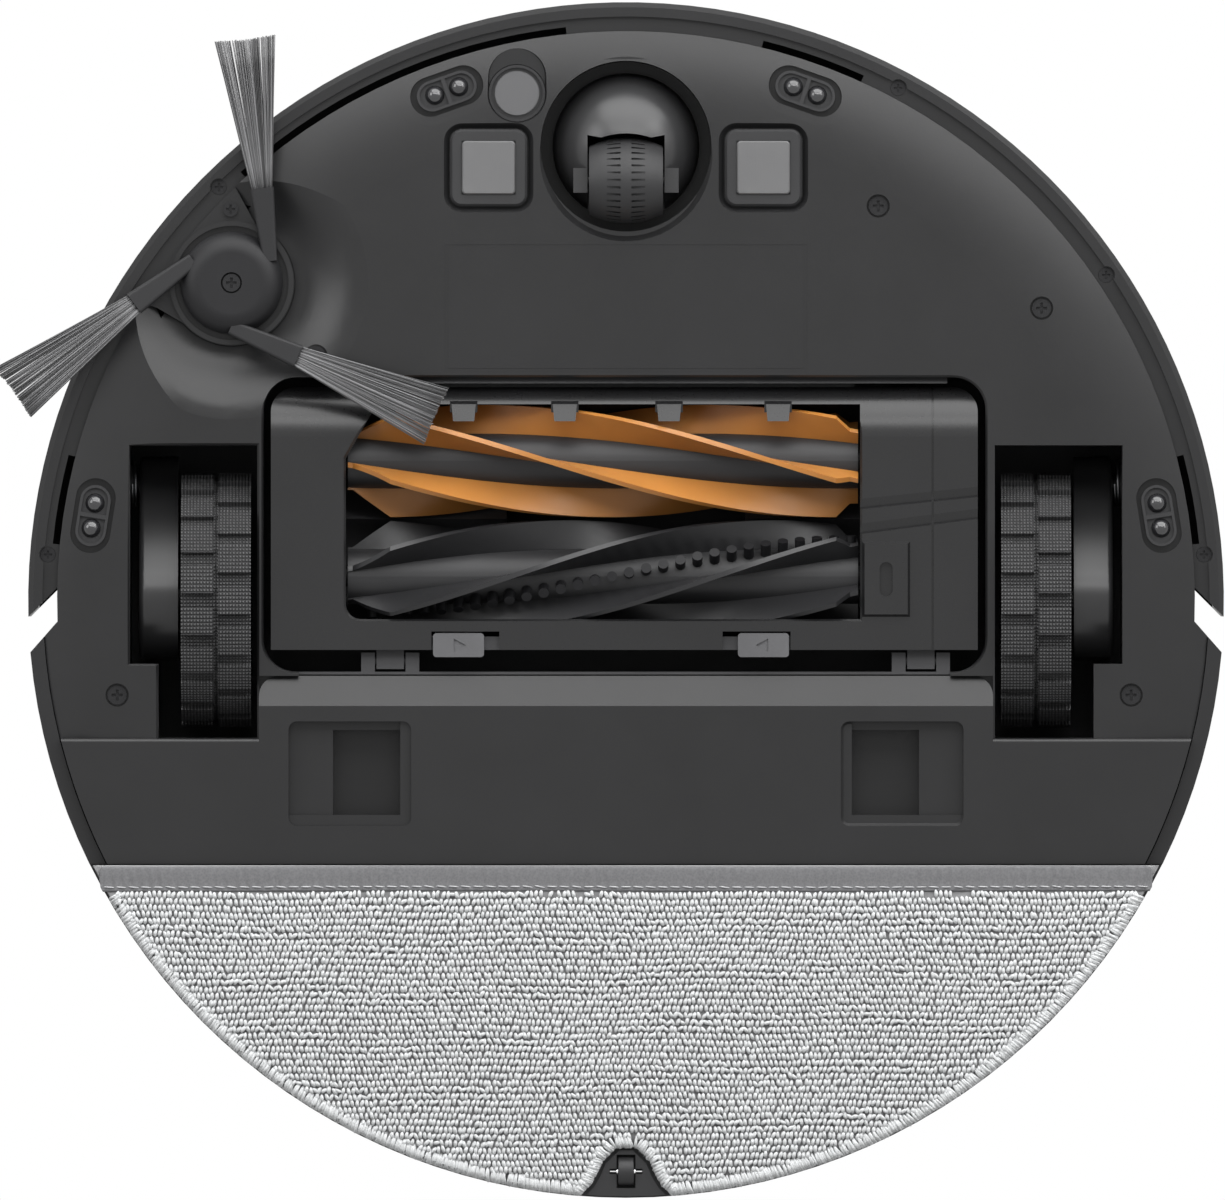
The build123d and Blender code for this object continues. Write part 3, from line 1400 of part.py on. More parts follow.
# Suspension springs coiled on the pivot pins, between arm and housing
with BuildPart() as suspension_springs:
    for side in (1, -1):
        coil_r = arm_pivot_r + 3.4
        start = side * (arm_x1 + 0.3 + spring_wire_r)
        with BuildLine() as coil:
            Helix(
                pitch=2.4 * spring_wire_r,
                height=2.4 * spring_wire_r * spring_turns,
                radius=coil_r,
                center=(start, arm_pivot_y, arm_pivot_z),
                direction=(side, 0, 0),
            )
        with BuildSketch(Plane(origin=coil.line @ 0, z_dir=coil.line % 0)):
            Circle(spring_wire_r)
        sweep(path=coil.line)

def under_cover(lift, back=0.0, mode=Mode.ADD):
    """Section below the cover's sloped front, raised by lift and moved back."""
    slope_y1 = head_y1 - cover_nose - back / 2
    slope_y0 = head_y1 - cover_nose - cover_slope_run
    z0 = cover_z + lift
    z1 = z0 + cover_slope_rise
    nose_z = cover_z + cover_slope_rise + cover_nose_rise
    with BuildLine() as section:
        Polyline(
            (head_y1 - back, nose_z),
            (2 * body_r, nose_z),
            (2 * body_r, 0),
            (head_y0 - 5, 0),
            (head_y0 - 5, z0),
            (slope_y0, z0),
        )
        slope = TangentArc((slope_y0, z0), (slope_y1, z1), tangent=(1, 0))
        Line(slope @ 1, (head_y1 - back, nose_z))
    make_face(section.edges(), mode=mode)


# Brush head housing: two tunnels, the gear case on one end and a duct on top
cover_top_z = cover_z + cover_t + 0.1
with BuildPart() as head_housing:
    front = head_y1 - cover_t - 0.1
    block(head_x0, head_x1, head_y0, front, cover_top_z, head_top_z)
    fillet(head_housing.edges().filter_by(Axis.Z).group_by(Axis.Y)[-1], radius=cover_corner_r)
    with BuildSketch(Plane.YZ.offset(head_x0 - 1)):
        under_cover(cover_t + 0.1, cover_t + 0.1)
    extrude(amount=head_x1 - head_x0 + 2, mode=Mode.SUBTRACT)
    block(
        -inlet_w / 2 - 3,
        inlet_w / 2 + 3,
        inlet_y - inlet_l / 2 - 2,
        inlet_y + inlet_l / 2 + 2,
        head_top_z - 1,
        bin_z0 - 4,
    )
    for x in head_pivots_x:
        block(
            x - head_ear_half_w,
            x + head_ear_half_w,
            head_pivot_y - 2.4,
            head_y0 + 1,
            head_pivot_z - 2.8,
            head_pivot_z + 6,
        )
        rod(x - 10, x + 10, head_pivot_y, head_pivot_z, head_pivot_r + bore_gap, Mode.SUBTRACT)
    tunnel_x0 = roller_x0 - 1
    tunnel_x1 = roller_x1 + 1
    for y in (roller_front_y, roller_rear_y):
        rod(tunnel_x0, tunnel_x1, y, roller_z, roller_tunnel_r, Mode.SUBTRACT)
        block(tunnel_x0, tunnel_x1, y - roller_tunnel_r, y + roller_tunnel_r, 0, roller_z, Mode.SUBTRACT)
        rod(
            head_seam_x - drive_end - 1,
            tunnel_x1 + drive_end + 1,
            y,
            roller_z,
            roller_shaft_r + bore_gap,
            Mode.SUBTRACT,
        )
    block(
        -inlet_w / 2,
        inlet_w / 2,
        inlet_y - inlet_l / 2,
        inlet_y + inlet_l / 2,
        roller_z,
        bin_z0,
        Mode.SUBTRACT,
    )

def mouth_plan(grow=0.0):
    """Plan of the mouth, with its slanted corner at the front."""
    slant = grow * tan(radians(30))
    Polygon(
        (mouth_x0 - grow, mouth_y0 - grow),
        (mouth_x1 + grow, mouth_y0 - grow),
        (mouth_x1 + grow, mouth_y1 - 2.3 - mouth_cut_y + slant),
        (mouth_x1 - mouth_cut_x + grow, mouth_y1 - 2.3 + slant),
        (mouth_x1 - mouth_cut_x + grow, mouth_y1 + grow),
        (mouth_x0 - grow, mouth_y1 + grow),
        align=None,
    )
    corner_r = mouth_round + grow
    with Locations((mouth_x1 + grow - corner_r / 2, mouth_y0 - grow + corner_r / 2)):
        Rectangle(corner_r, corner_r, mode=Mode.SUBTRACT)
    with Locations((mouth_x1 + grow - corner_r, mouth_y0 - grow + corner_r)):
        Circle(corner_r)


def roller_room():
    """Half section of the space that a roller sweeps: a drum that narrows where its blades run out."""
    Polygon(
        (roller_x0 - 0.6, 0),
        (roller_x0 - 0.6, roller_r + move_gap),
        (roller_full_x1 + move_gap, roller_r + move_gap),
        (roller_low_x1 + move_gap, roller_low_r + move_gap),
        (roller_x1 + 0.6, roller_low_r + move_gap),
        (roller_x1 + 0.6, 0),
        align=None,
    )


# Brush cover: a plate with a rolled front edge, the mouth and four comb teeth
with BuildPart() as brush_cover:
    front_z = cover_z + cover_front_h
    block(head_x0, head_x1, head_y0, head_y1, cover_z, front_z)
    fillet(brush_cover.edges().filter_by(Axis.Z).group_by(Axis.Y)[-1], radius=cover_corner_r)
    with BuildSketch(Plane.YZ.offset(head_x0 - 1)):
        under_cover(0.0)
    extrude(amount=head_x1 - head_x0 + 2, mode=Mode.SUBTRACT)
    with BuildSketch(Plane.YZ.offset(head_x0 - 1)):
        with Locations(((head_y0 - 5 + head_y1 - cover_t) / 2, front_z)):
            Rectangle(head_y1 - cover_t - head_y0 + 5, 2 * cover_front_h)
        under_cover(cover_t, cover_t, Mode.SUBTRACT)
    extrude(amount=head_x1 - head_x0 + 2, mode=Mode.SUBTRACT)
    with BuildSketch(Plane.XY):
        mouth_plan()
    extrude(amount=front_z, mode=Mode.SUBTRACT)
    with BuildSketch(Plane.XY.offset(cover_z)):
        mouth_plan(rim_chamfer)
    extrude(amount=rim_chamfer, taper=45, mode=Mode.SUBTRACT)
    for x in comb_teeth_x:
        with BuildSketch(Plane.YZ.offset(x - comb_tooth_root_w / 2)):
            Polygon(
                (head_y1 - 1.0, cover_z + 7.5),
                (mouth_y1, cover_z + 4.4),
                (comb_tooth_tip_y, cover_z - 0.6),
                (comb_tooth_tip_y, cover_z - 2.2),
                (mouth_y1, cover_z + 2.0),
                (head_y1 - 2.0, cover_z + 6.2),
                align=None,
            )
        extrude(amount=comb_tooth_root_w)
        for side in (1, -1):
            with BuildSketch(Plane.XY):
                Polygon(
                    (x + side * comb_tooth_root_w / 2, head_y1),
                    (x + side * comb_tooth_root_w, head_y1),
                    (x + side * comb_tooth_root_w, comb_tooth_tip_y - 1),
                    (x + side * comb_tooth_tip_w / 2, comb_tooth_tip_y - 1),
                    align=None,
                )
            extrude(amount=cover_z + 2.0, mode=Mode.SUBTRACT)
    for y in (roller_front_y, roller_rear_y):
        with BuildSketch(Plane(origin=(0, y, roller_z), x_dir=(1, 0, 0), z_dir=(0, 0, 1))):
            roller_room()
        revolve(axis=Axis((0, y, roller_z), (1, 0, 0)), mode=Mode.SUBTRACT)
    # Seam, two diagonal grooves and the raised bearing tab with its slot on the far cheek
    with BuildSketch(Plane.YZ.offset(head_seam_x - seam_w / 2)):
        under_cover(seam_depth)
    extrude(amount=seam_w, mode=Mode.SUBTRACT)
    for y0, y1 in ((26.9, 30.7), (19.6, 24.3)):
        start = Vector(mouth_x0 + 1, y0, cover_z)
        run = Vector(head_x0 - 1, y1, cover_z) - start
        forward = Vector(run.Y, -run.X, 0)
        with BuildSketch(Plane(start, x_dir=forward, z_dir=run)):
            Polygon((-0.5, 0.05), (0, -groove_depth), (groove_w, 0.05), align=None)
        extrude(amount=run.length, mode=Mode.SUBTRACT)
    tab_x = mouth_x0 - tab_w / 2 - rim_chamfer
    with BuildSketch(Plane.XY.offset(cover_z)):
        with Locations((tab_x, tab_y)):
            Rectangle(tab_w, tab_l)
    extrude(amount=-tab_proud, taper=30)
    with BuildSketch(Plane.XY.offset(cover_z - tab_proud)):
        with Locations((tab_x, tab_y)):
            SlotOverall(tab_slot_l, tab_slot_w, rotation=90)
    extrude(amount=tab_proud + 1.0, mode=Mode.SUBTRACT)
    # Cut-outs for the latches, long enough for their travel
    for x, inward in zip(latches_x, (-1, 1)):
        near = x - inward * (latch_l / 2 + move_gap)
        far = x + inward * (latch_l / 2 + latch_travel + move_gap)
        block(near, far, head_y0 - 5, latch_y + latch_w / 2 + move_gap, 0, 2 * cover_z, Mode.SUBTRACT)


def cover_latch(x, inward):
    with BuildPart() as latch:
        z0 = cover_z - latch_proud
        block(
            x - latch_l / 2,
            x + latch_l / 2,
            latch_y - latch_w / 2,
            latch_y + latch_w / 2,
            z0,
            z0 + latch_t,
        )
        fillet(latch.edges().filter_by(Axis.Z), radius=1.0)
        with BuildSketch(Plane.XY.offset(z0)):
            Polygon(
                (x + inward * 2.2, latch_y),
                (x - inward * 1.4, latch_y + 1.9),
                (x - inward * 1.4, latch_y - 1.9),
                align=None,
            )
        extrude(amount=0.4, mode=Mode.SUBTRACT)
    return latch


cover_latch_right = cover_latch(latches_x[0], -1)
cover_latch_left = cover_latch(latches_x[1], 1)


# Rollers: a core with a shaft at each end, and helical blades that stand on it
def roller_core(y):
    with BuildPart() as core:
        rod(roller_x0, roller_x1, y, roller_z, roller_core_r)
        rod(head_seam_x - drive_end, roller_x1 + drive_end, y, roller_z, roller_shaft_r)
    return core


def roller_blades(y, pitch, low_x):
    turn = 360.0 * (roller_x1 - roller_x0) / pitch
    first = -90.0 - 360.0 * (low_x - roller_x0) / pitch
    with BuildPart() as blades:
        strips = []
        for i in range(blade_count):
            angle = radians(first + i * 360.0 / blade_count)
            out = Vector(0, cos(angle), sin(angle))
            middle = Vector(roller_x0, y, roller_z) + out * ((roller_core_r + roller_r) / 2 + 0.02)
            plane = Plane(middle, x_dir=out, z_dir=(1, 0, 0))
            face = Face.make_rect(roller_r - roller_core_r, blade_t, plane)
            strips.append(
                Solid.extrude_linear_with_rotation(
                    face, (roller_x0, y, roller_z), (roller_x1 - roller_x0, 0, 0), turn
                )
            )
        add(strips)
        # The blades are lower at the bearing end
        with BuildSketch(Plane(origin=(0, y, roller_z), x_dir=(1, 0, 0), z_dir=(0, 0, 1))):
            Polygon(
                (roller_full_x0, roller_r + 1),
                (roller_full_x0, roller_r),
                (roller_full_x0 - 4, roller_step_r),
                (roller_x0 - 1, roller_step_r),
                (roller_x0 - 1, roller_r + 1),
                align=None,
            )
            # They run out to the core at the other end
            Polygon(
                (roller_full_x1, roller_r + 1),
                (roller_full_x1, roller_r),
                (roller_low_x1, roller_low_r),
                (roller_x1 + 1, roller_low_r),
                (roller_x1 + 1, roller_r + 1),
                align=None,
            )
        revolve(axis=Axis((0, y, roller_z), (1, 0, 0)), mode=Mode.SUBTRACT)
    return blades


front_roller_core = roller_core(roller_front_y)
rear_roller_core = roller_core(roller_rear_y)
front_roller_blades = roller_blades(roller_front_y, blade_pitch, blade_low_x)
rear_roller_blades = roller_blades(roller_rear_y, -rear_blade_pitch, rear_blade_low_x)

# A helical row of round bumps on the rear roller
with BuildPart() as rear_roller_bumps:
    for i in range(bump_count):
        x = bump_low_x + (i - bump_count // 2) * bump_pitch
        angle = -90.0 - 360.0 * (x - bump_low_x) / rear_blade_pitch
        out = Vector(0, cos(radians(angle)), sin(radians(angle)))
        seat = Vector(x, roller_rear_y, roller_z) + out * (roller_core_r + 0.02)
        with BuildSketch(Plane(seat, x_dir=(1, 0, 0), z_dir=out)):
            Circle(bump_r)
        extrude(amount=bump_h)

# Brush motor on the head
with BuildPart() as brush_motor:
    motor_x0 = head_x0 + 1
    motor_z = head_top_z + 0.2 + motor_r
    rod(motor_x0, motor_x0 + motor_l, inlet_y, motor_z, motor_r)
    rod(motor_x0 + motor_l - 1, motor_x0 + motor_l + 1, inlet_y, motor_z, 3)


# Mop plate, with a slot for the guide roller and its pin
def mop_plan(radius, front):
    """Plan of the mop: the rear segment of a disc."""
    Circle(radius)
    with Locations((0, front - body_r)):
        Rectangle(2 * body_r, 2 * body_r, mode=Mode.INTERSECT)


mop_front = mop_y1 - move_gap
with BuildPart() as mop_plate:
    with BuildSketch(Plane.XY.offset(cloth_t)):
        mop_plan(mop_r, mop_front)
    extrude(amount=mop_plate_t)
    fillet(mop_plate.faces().sort_by(Axis.Z)[-1].edges(), radius=1.0)
    # A foot fills the cloth's notch
    with BuildSketch(Plane.XY.offset(cloth_t)):
        with BuildLine():
            right = [(w - 1.0, y - 0.8) for w, y in zip(notch_half_widths, notch_ys)]
            left = [(-x, y) for x, y in reversed(right)]
            Polyline(*right, *left, close=True)
        make_face()
        Circle(mop_r, mode=Mode.INTERSECT)
    extrude(amount=-1.4)
    block(
        -guide_w / 2 - 0.4,
        guide_w / 2 + 0.4,
        guide_y - guide_r - 0.5,
        guide_y + guide_r + 0.5,
        0,
        guide_z + guide_r + 0.5,
        Mode.SUBTRACT,
    )
    block(
        -guide_pin_half_l - 0.1,
        guide_pin_half_l + 0.1,
        guide_y - guide_pin_r,
        guide_y + guide_pin_r,
        0,
        guide_z,
        Mode.SUBTRACT,
    )
    rod(-guide_pin_half_l - 0.1, guide_pin_half_l + 0.1, guide_y, guide_z, guide_pin_r, Mode.SUBTRACT)

with BuildPart() as mop_roller_pin:
    rod(-guide_pin_half_l, guide_pin_half_l, guide_y, guide_z, guide_pin_r)

with BuildPart() as mop_roller:
    rod(-guide_w / 2, guide_w / 2, guide_y, guide_z, guide_r)
    fillet(mop_roller.edges(), radius=0.5)
    rod(-guide_w, guide_w, guide_y, guide_z, guide_pin_r + bore_gap, Mode.SUBTRACT)


# Mop cloth and its hem, with the bell-shaped notch at the rear
def cloth_notch():
    """Plan of the notch for the guide roller."""
    right = [(w, y) for w, y in zip(notch_half_widths, notch_ys)]
    left = [(-w, y) for w, y in reversed(right)]
    Polygon(*right, *left, align=None)


with BuildPart() as mop_cloth:
    with BuildSketch(Plane.XY):
        mop_plan(mop_r, mop_front - hem_w)
    extrude(amount=cloth_t)
    with BuildSketch(Plane.XY.offset(cloth_t)):
        mop_plan(mop_r, mop_front)
    extrude(amount=-hem_t)
    with BuildSketch(Plane.XY):
        cloth_notch()
    extrude(amount=cloth_t, mode=Mode.SUBTRACT)
    block(
        -notch_half_widths[0],
        notch_half_widths[0],
        -2 * body_r,
        notch_ys[0],
        0,
        cloth_t,
        Mode.SUBTRACT,
    )

# Dust bin lid with a hinge barrel and its pins
with BuildPart() as bin_lid:
    with BuildSketch(Plane.XY.offset(deck_z - lid_t)):
        with Locations((0, (lid_y0 + lid_y1) / 2)):
            RectangleRounded(2 * lid_half_w, lid_y1 - lid_y0, lid_round)
    extrude(amount=lid_t)
    rod(-lid_barrel_half_l, lid_barrel_half_l, lid_axis_y, lid_axis_z, lid_barrel_r)
    block(
        -lid_barrel_half_l,
        lid_barrel_half_l,
        lid_axis_y,
        lid_y0 + 1,
        lid_axis_z - lid_barrel_r / 2,
        lid_axis_z + lid_barrel_r,
    )
    pin_reach = lid_barrel_half_l + lid_pin_l
    rod(-pin_reach, pin_reach, lid_axis_y, lid_axis_z, lid_pin_r)
    # A finger scoop at the front edge
    with BuildSketch(Plane.XY.offset(deck_z - 1.2)):
        with Locations((0, lid_y1)):
            Ellipse(16, 6)
    extrude(amount=2, mode=Mode.SUBTRACT)


def button(x):
    with BuildPart() as key:
        low = deck_z - deck_t - button_travel - 2
        post(x, button_y, low, deck_z + button_proud, button_r)
        fillet(key.faces().sort_by(Axis.Z)[-1].edges(), radius=0.5)
        post(x, button_y, low - 1.2, low, button_r + button_flange)
    return key


power_button = button(button_x)
dock_button = button(-button_x)

# Turret base with its posts and the bore for the sensor's shaft
with BuildPart() as lidar_base:
    post(turret_x, turret_y, deck_z, deck_z + turret_base_h, turret_r)
    fillet(lidar_base.faces().sort_by(Axis.Z)[-1].edges(), radius=1.2)
    post(turret_x, turret_y, deck_z + 2, 2 * deck_z, lidar_r + 1.5, Mode.SUBTRACT)
    post(turret_x, turret_y, deck_z - deck_t - 8, deck_z + 2, lidar_r - 8 - seat_gap)
    post(turret_x, turret_y, deck_z - deck_t - 6, 2 * deck_z, lidar_shaft_r + bore_gap, Mode.SUBTRACT)
    with Locations((turret_x, turret_y, 0)):
        with PolarLocations(turret_post_ring_r, turret_posts, start_angle=45):
            with Locations((0, 0, (deck_z + 1 + turret_cap_z - cap_travel - move_gap) / 2)):
                Cylinder(turret_post_r, turret_cap_z - cap_travel - move_gap - deck_z - 1)
            with Locations((0, 0, turret_cap_z)):
                Cylinder(turret_pin_r + bore_gap, 18, mode=Mode.SUBTRACT)

# Spinning sensor head with two lens openings
with BuildPart() as lidar_rotor:
    rotor_z = deck_z + 2 + move_gap
    post(turret_x, turret_y, rotor_z, rotor_z + lidar_h, lidar_r)
    post(turret_x, turret_y, deck_z - deck_t - 5.5, rotor_z + 1, lidar_shaft_r)
    with Locations((turret_x + 12, turret_y - lidar_r, rotor_z + lidar_h / 2)):
        Box(12, 14, lidar_h - 3, mode=Mode.SUBTRACT)
    with Locations((turret_x - 12, turret_y - lidar_r, rotor_z + lidar_h / 2)):
        Box(9, 14, lidar_h - 3, mode=Mode.SUBTRACT)

# Turret cap on four guide pins
with BuildPart() as lidar_cap:
    post(turret_x, turret_y, turret_cap_z, turret_top_z, turret_r)
    fillet(lidar_cap.faces().sort_by(Axis.Z)[-1].edges(), radius=2.5)
    with Locations((turret_x, turret_y, turret_cap_z - 2.5)):
        with PolarLocations(turret_post_ring_r, turret_posts, start_angle=45):
            Cylinder(turret_pin_r, 6)

pieces = {
    "base_plate": base_plate,
    "rear_block": rear_block,
    "body_shell": body_shell,
    "top_deck": top_deck,
    "wheel_housings": wheel_housings,
    "brush_bay": brush_bay,
    "pivot_pins": pivot_pins,
    "suspension_springs": suspension_springs,
    "battery_pack": battery_pack,
    "main_board": main_board,
    "dust_bin": dust_bin,
    "bin_filter": bin_filter,
    "fan_housing": fan_housing,
    "fan_impeller": fan_impeller,
    "water_tank": water_tank,
    "contact_frames": contact_frames,
    "contact_plates": contact_plates,
    "carpet_sensor": carpet_sensor,
    "cliff_sensor_bodies": cliff_sensor_bodies,
    "cliff_sensor_lenses": cliff_sensor_lenses,
    "chassis_screws": chassis_screws,
    "bumper_shell": bumper_shell,
    "bumper_window": bumper_window,
    "bumper_flange": bumper_flange,
    "bumper_screws": bumper_screws,
    "caster_housing": caster_housing,
    "caster_axle": caster_axle,
    "caster_wheel": caster_wheel,
    "drive_arm_right": drive_arm_right,
    "drive_arm_left": drive_arm_left,
    "wheel_hub_right": wheel_hub_right,
    "wheel_hub_left": wheel_hub_left,
    "tyre_right": tyre_right,
    "tyre_left": tyre_left,
    "head_housing": head_housing,
    "brush_cover": brush_cover,
    "brush_motor": brush_motor,
    "cover_latch_right": cover_latch_right,
    "cover_latch_left": cover_latch_left,
    "front_roller_core": front_roller_core,
    "front_roller_blades": front_roller_blades,
    "rear_roller_core": rear_roller_core,
    "rear_roller_blades": rear_roller_blades,
    "rear_roller_bumps": rear_roller_bumps,
    "side_brush_gearbox": side_brush_gearbox,
    "side_brush_hub": side_brush_hub,
    "side_brush_sleeves": side_brush_sleeves,
    "side_brush_screw": side_brush_screw,
    "side_brush_bristles": side_brush_bristles,
    "mop_plate": mop_plate,
    "mop_cloth": mop_cloth,
    "mop_roller": mop_roller,
    "mop_roller_pin": mop_roller_pin,
    "bin_lid": bin_lid,
    "power_button": power_button,
    "dock_button": dock_button,
    "lidar_base": lidar_base,
    "lidar_rotor": lidar_rotor,
    "lidar_cap": lidar_cap,
}
os.makedirs("parts", exist_ok=True)
for name, piece in pieces.items():
    piece.part.label = name
    export_step(piece.part, f"parts/{name}.step")
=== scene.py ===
"""Robot vacuum with mop, seen from below: finishes for the solids, the mop cloth and the brush strands."""
import math

import bpy
import numpy as np
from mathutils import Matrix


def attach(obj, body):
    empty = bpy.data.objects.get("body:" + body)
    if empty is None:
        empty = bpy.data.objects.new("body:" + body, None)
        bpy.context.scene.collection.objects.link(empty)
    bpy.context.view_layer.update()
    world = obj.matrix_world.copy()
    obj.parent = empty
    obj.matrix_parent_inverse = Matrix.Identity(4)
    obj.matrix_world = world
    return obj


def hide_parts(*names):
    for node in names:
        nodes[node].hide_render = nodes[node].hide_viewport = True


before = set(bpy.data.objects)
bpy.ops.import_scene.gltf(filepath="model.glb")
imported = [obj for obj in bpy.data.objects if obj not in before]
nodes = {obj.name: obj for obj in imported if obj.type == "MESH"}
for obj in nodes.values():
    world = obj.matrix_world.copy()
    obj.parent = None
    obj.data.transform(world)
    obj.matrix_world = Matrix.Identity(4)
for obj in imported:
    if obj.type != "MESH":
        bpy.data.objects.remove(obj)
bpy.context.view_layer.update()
MM = 0.001

# Places and sizes shared with the solids, in millimetres
BODY_R = 175.0
MOP_R = 174.4
MOP_FRONT = -77.7
HEM_REAR = -85.3
HEM_HALF = 154.0
NOTCH_W = np.array([14.0, 10.5, 8.5, 7.0, 3.0])
NOTCH_Y = np.array([-174.5, -171.0, -167.7, -164.0, -160.1])
BRUSH = np.array([115.42, 92.80])
TUFTS = 3
TUFT_ANGLE = 83.5
TUFT_OFFSET = 12.0
TUFT_REACH = 70.0
SLEEVE_END = 26.5
SLEEVE_Z = 5.0
STRAND_R = 0.17
STRANDS_HIGH = 5
STRANDS_PER_TUFT = 150
CARPET = (31.9, 148.3)
CARPET_DISC_R = 6.6
AXLE_Z = 37.2
STITCH_PITCH = 3.6
PUCKER_PITCH = 2.9
LOOP_PITCH_X = 1.36
LOOP_PITCH_Y = 1.96
WRAP_PITCH = 0.62

# The photo's width, and the body's radius and shift in it, in its pixels
PHOTO_WIDTH = 1225
PHOTO_BODY_R = 598.0
PHOTO_SHIFT = 13.5
PHOTO_PIXEL = BODY_R / PHOTO_BODY_R * MM


# Meshes

def make_piece(name, points, faces, material, body):
    """A mesh piece from whole arrays: points in millimetres, faces as rows of point numbers."""
    mesh = bpy.data.meshes.new(name)
    mesh.from_pydata((np.asarray(points, float) * MM).tolist(), [], [list(face) for face in faces])
    mesh.validate()
    mesh.polygons.foreach_set("use_smooth", np.full(len(mesh.polygons), True))
    mesh.materials.append(material)
    piece = bpy.data.objects.new(name, mesh)
    bpy.context.scene.collection.objects.link(piece)
    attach(piece, body)
    return piece


def grid_faces(rows, columns, around=False):
    """Quads of a grid of rows by columns points; around closes each row on itself."""
    r = np.arange(rows - 1)[:, None]
    c = np.arange(columns if around else columns - 1)[None, :]
    d = (c + 1) % columns
    row, next_row = r * columns, (r + 1) * columns
    return np.stack([row + c, row + d, next_row + d, next_row + c], axis=-1).reshape(-1, 4)


def many_tubes(paths, radii, sides):
    """Tubes along many paths at once: p(t) + r(t) (u cos a + v sin a), with u and v square to each path.
    paths is tubes by points by 3, radii broadcasts over tubes by points; both ends are closed by a point."""
    count, points, _ = paths.shape
    along = np.gradient(paths, axis=1)
    along /= np.linalg.norm(along, axis=2, keepdims=True)
    helper = np.where(np.abs(along[..., 2:]) > 0.9, [[[1.0, 0.0, 0.0]]], [[[0.0, 0.0, 1.0]]])
    u = np.cross(along, helper)
    u /= np.linalg.norm(u, axis=2, keepdims=True)
    v = np.cross(along, u)
    angle = np.arange(sides) * 2 * math.pi / sides
    cosine, sine = np.cos(angle)[None, None, :, None], np.sin(angle)[None, None, :, None]
    r = np.broadcast_to(radii, (count, points))[..., None, None]
    ring = paths[:, :, None, :] + r * (u[:, :, None, :] * cosine + v[:, :, None, :] * sine)
    ends = np.stack([paths[:, 0], paths[:, -1]], axis=1)
    per = points * sides + 2
    verts = np.concatenate([ring.reshape(count, points * sides, 3), ends], axis=1).reshape(-1, 3)
    quads = grid_faces(points, sides, around=True)
    s = np.arange(sides)
    first = np.stack([np.full(sides, points * sides), (s + 1) % sides, s], axis=1)
    last_row = (points - 1) * sides
    last = np.stack([np.full(sides, points * sides + 1), last_row + s, last_row + (s + 1) % sides], axis=1)
    base = (np.arange(count) * per)[:, None, None]
    quads = (quads[None] + base).reshape(-1, 4)
    caps = (np.concatenate([first, last])[None] + base).reshape(-1, 3)
    return verts, quads.tolist() + caps.tolist()


# Finishes

def shader(name):
    """An empty material with its main shader, and a helper that adds and links nodes to it."""
    material = bpy.data.materials.new(name)
    material.use_nodes = True
    tree = material.node_tree
    surface = next(n for n in tree.nodes if n.type == "BSDF_PRINCIPLED")

    def add(kind, values=None, links=None, **settings):
        node = tree.nodes.new(kind)
        for key, value in settings.items():
            setattr(node, key, value)
        for key, value in (values or {}).items():
            node.inputs[key].default_value = value
        for key, source in (links or {}).items():
            tree.links.new(source, node.inputs[key])
        return node

    return material, surface, tree, add


GRAIN_DEPTH = 0.06 * MM


def grained(name, colour, rough=0.5, grain=1400.0, bump=0.12, spread=0.12, metallic=0.0, specular=0.3,
            coat=0.0, uneven=0.08, scatter=0.0, pattern=None, pattern_depth=0.0, tip_highlight=None):
    """A moulded or plated finish: cloudy colour, uneven roughness and a fine raised grain.
    A pattern may be raised on it, with its tips painted paler as a painted highlight."""
    material, surface, tree, add = shader(name)
    place = add("ShaderNodeTexCoord").outputs["Object"]
    fine = add("ShaderNodeTexNoise", {"Scale": grain, "Detail": 3.0, "Roughness": 0.6}, {"Vector": place})
    cloud = add("ShaderNodeTexNoise", {"Scale": 40.0, "Detail": 4.0, "Roughness": 0.55}, {"Vector": place})
    tint = add("ShaderNodeValToRGB", links={"Fac": cloud.outputs["Fac"]})
    low = [c * (1 - spread) for c in colour]
    high = [c * (1 + spread) for c in colour]
    tint.color_ramp.elements[0].position = 0.3
    tint.color_ramp.elements[0].color = (*low, 1)
    tint.color_ramp.elements[1].position = 0.7
    tint.color_ramp.elements[1].color = (*high, 1)
    tree.links.new(tint.outputs["Color"], surface.inputs["Base Color"])
    gloss = add(
        "ShaderNodeMapRange",
        {"To Min": max(0.02, rough - uneven), "To Max": min(1.0, rough + uneven)},
        {"Value": fine.outputs["Fac"]},
    )
    tree.links.new(gloss.outputs["Result"], surface.inputs["Roughness"])
    depth = {"Strength": bump, "Distance": GRAIN_DEPTH}
    relief = add("ShaderNodeBump", depth, {"Height": fine.outputs["Fac"]})
    if pattern is not None:
        raised = pattern(add, place)
        # Painted highlight: the raised tips of the pattern are mixed towards a paler colour, standing for
        # light that catches them.
        if tip_highlight:
            highlight_tips = add("ShaderNodeMath", {1: 2.0}, {0: raised}, operation="POWER")
            pale = add(
                "ShaderNodeMix",
                {"B": (*tip_highlight, 1)},
                {"Factor": highlight_tips.outputs[0], "A": tint.outputs["Color"]},
                data_type="RGBA",
            )
            tree.links.new(pale.outputs["Result"], surface.inputs["Base Color"])
        relief = add(
            "ShaderNodeBump",
            {"Strength": 1.0, "Distance": pattern_depth},
            {"Height": raised, "Normal": relief.outputs["Normal"]},
        )
    tree.links.new(relief.outputs["Normal"], surface.inputs["Normal"])
    surface.inputs["Metallic"].default_value = metallic
    surface.inputs["Specular IOR Level"].default_value = specular
    surface.inputs["Coat Weight"].default_value = coat
    surface.inputs["Coat Roughness"].default_value = 0.12
    if scatter:
        surface.inputs["Subsurface Weight"].default_value = scatter
        surface.inputs["Subsurface Radius"].default_value = (0.9, 0.45, 0.15)
        surface.inputs["Subsurface Scale"].default_value = 0.002
    return material


